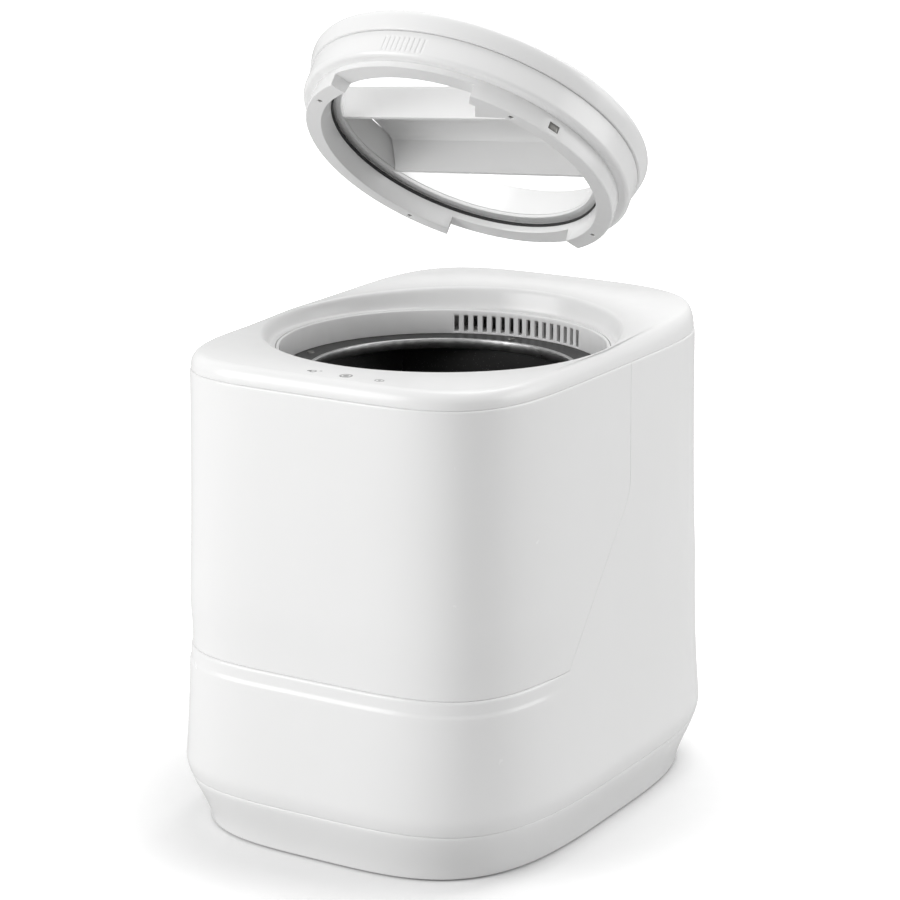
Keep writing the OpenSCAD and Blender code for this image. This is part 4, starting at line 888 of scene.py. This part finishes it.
def well_wall(z):
    """Radius of the wall of the wells: it leans outwards evenly from its foot to the rim."""
    return well_low_r + well_draft * (z - well_low) / (cap_edge - well_low)


guide_out = ring_r - lid_wall - 0.3
cap_foot = cap_low - 0.35
cap_draft, guide_t = 3.5, 2.4
well_rim = well_wall(cap_edge)
section = rounded([
    [cap_r - cap_draft, cap_foot], [cap_r - 0.02, cap_edge - 4.5], [cap_r - 3, cap_edge + 0.9],
    [cap_r - 12, cap_edge + 2.75], [well_rim + 4.5, cap_edge + 2.6], [well_rim + 0.2, cap_edge + 1.2],
    [well_low_r, well_low], [well_low_r + lid_wall, well_low],
    [well_wall(cap_edge - 2) + lid_wall, cap_edge - 2],
    [guide_out - guide_t, cap_edge - 1.5], [guide_out - guide_t, skirt_h + 6], [guide_out, skirt_h + 6],
    [guide_out, cap_low + 1.5], [cap_r - cap_draft - lid_wall, cap_low + 1.5],
    [cap_r - cap_draft - lid_wall, cap_foot]],
    [0.6, 6.0, 3.0, 4.0, 2.4, 1.6, 0.5, 0.5, 2, 2, 0.5, 0.5, 0.5, 0.5, 0.5], 7)
lid_ring_piece("cap", lathe(section, around), "lid_top", ["lid_cap"])

# %% [markdown]
# ## Handle bar
# The bar is a long trough turned upside down: its sides lean together, its top is crowned, and its ends
# close against the round wall of the wells. It could be a box with bevels, but the ends would be flat. So a
# grid is worked out instead: one direction goes round the section, the other runs from end to end, and each
# line of points stops where it meets the round wall.

# %% Handle bar
bar_steps, bar_long = 26, 96
crown_from, end_fall = 2.0, 0.75


def bar_section(inset):
    """Half section of the bar from its foot to its crown, as (distance from the middle, height)."""
    knots = [[bar_half, bar_low], [bar_half - bar_draft * 0.8, cap_edge - 7],
             [bar_half - bar_draft - 1.2, cap_edge - 2.4], [bar_half - bar_draft - 5.5, cap_edge + 1.3],
             [bar_half * 0.62, cap_edge + dome_h * 0.55], [bar_half * 0.3, cap_edge + dome_h * 0.82],
             [0, cap_edge + dome_h * 0.9]]
    half = through(knots, bar_steps)
    half[:, 0] = np.maximum(half[:, 0] - inset, 0.0)
    half[1:, 1] -= inset
    return half


def bar_grid(inset):
    """Points over the bar: round the section from the front foot over the crown to the back foot, and along
    X as far as the round wall lets each line go, with the crown falling a little towards both ends."""
    half = bar_section(inset)
    y = np.concatenate([-half[:, 0], half[-2::-1, 0]])
    z = np.concatenate([half[:, 1], half[-2::-1, 1]])
    limit = np.where(z < well_low, well_low_r - 0.4, well_wall(np.minimum(z, cap_edge)) - 0.1) - inset
    reach = np.sqrt(limit ** 2 - y ** 2)
    share = np.sin(np.linspace(-np.pi / 2, np.pi / 2, bar_long))[:, None]
    x = reach[None, :] * share
    crown = np.maximum(z - cap_edge + crown_from, 0)[None, :] / (dome_h + crown_from)
    drop = crown * (dome_h * end_fall) * np.abs(share) ** 3
    y = np.broadcast_to(y, x.shape)
    c, s = math.cos(bar_turn), math.sin(bar_turn)
    return np.stack([x * c - y * s, x * s + y * c, z[None, :] - drop], -1)


outer, inner = bar_grid(0.0), bar_grid(lid_wall)
end_columns = outer.shape[1]
shell = np.stack([outer, inner]).reshape(-1, 3)
keep = np.ones((bar_long - 1, end_columns - 1), bool)
faces = skin_faces(keep, False)[:, ::-1]
new_piece("handle_bar", lid_to_row(shell), faces, WHITE, "lid_top", ["lid_handle"])
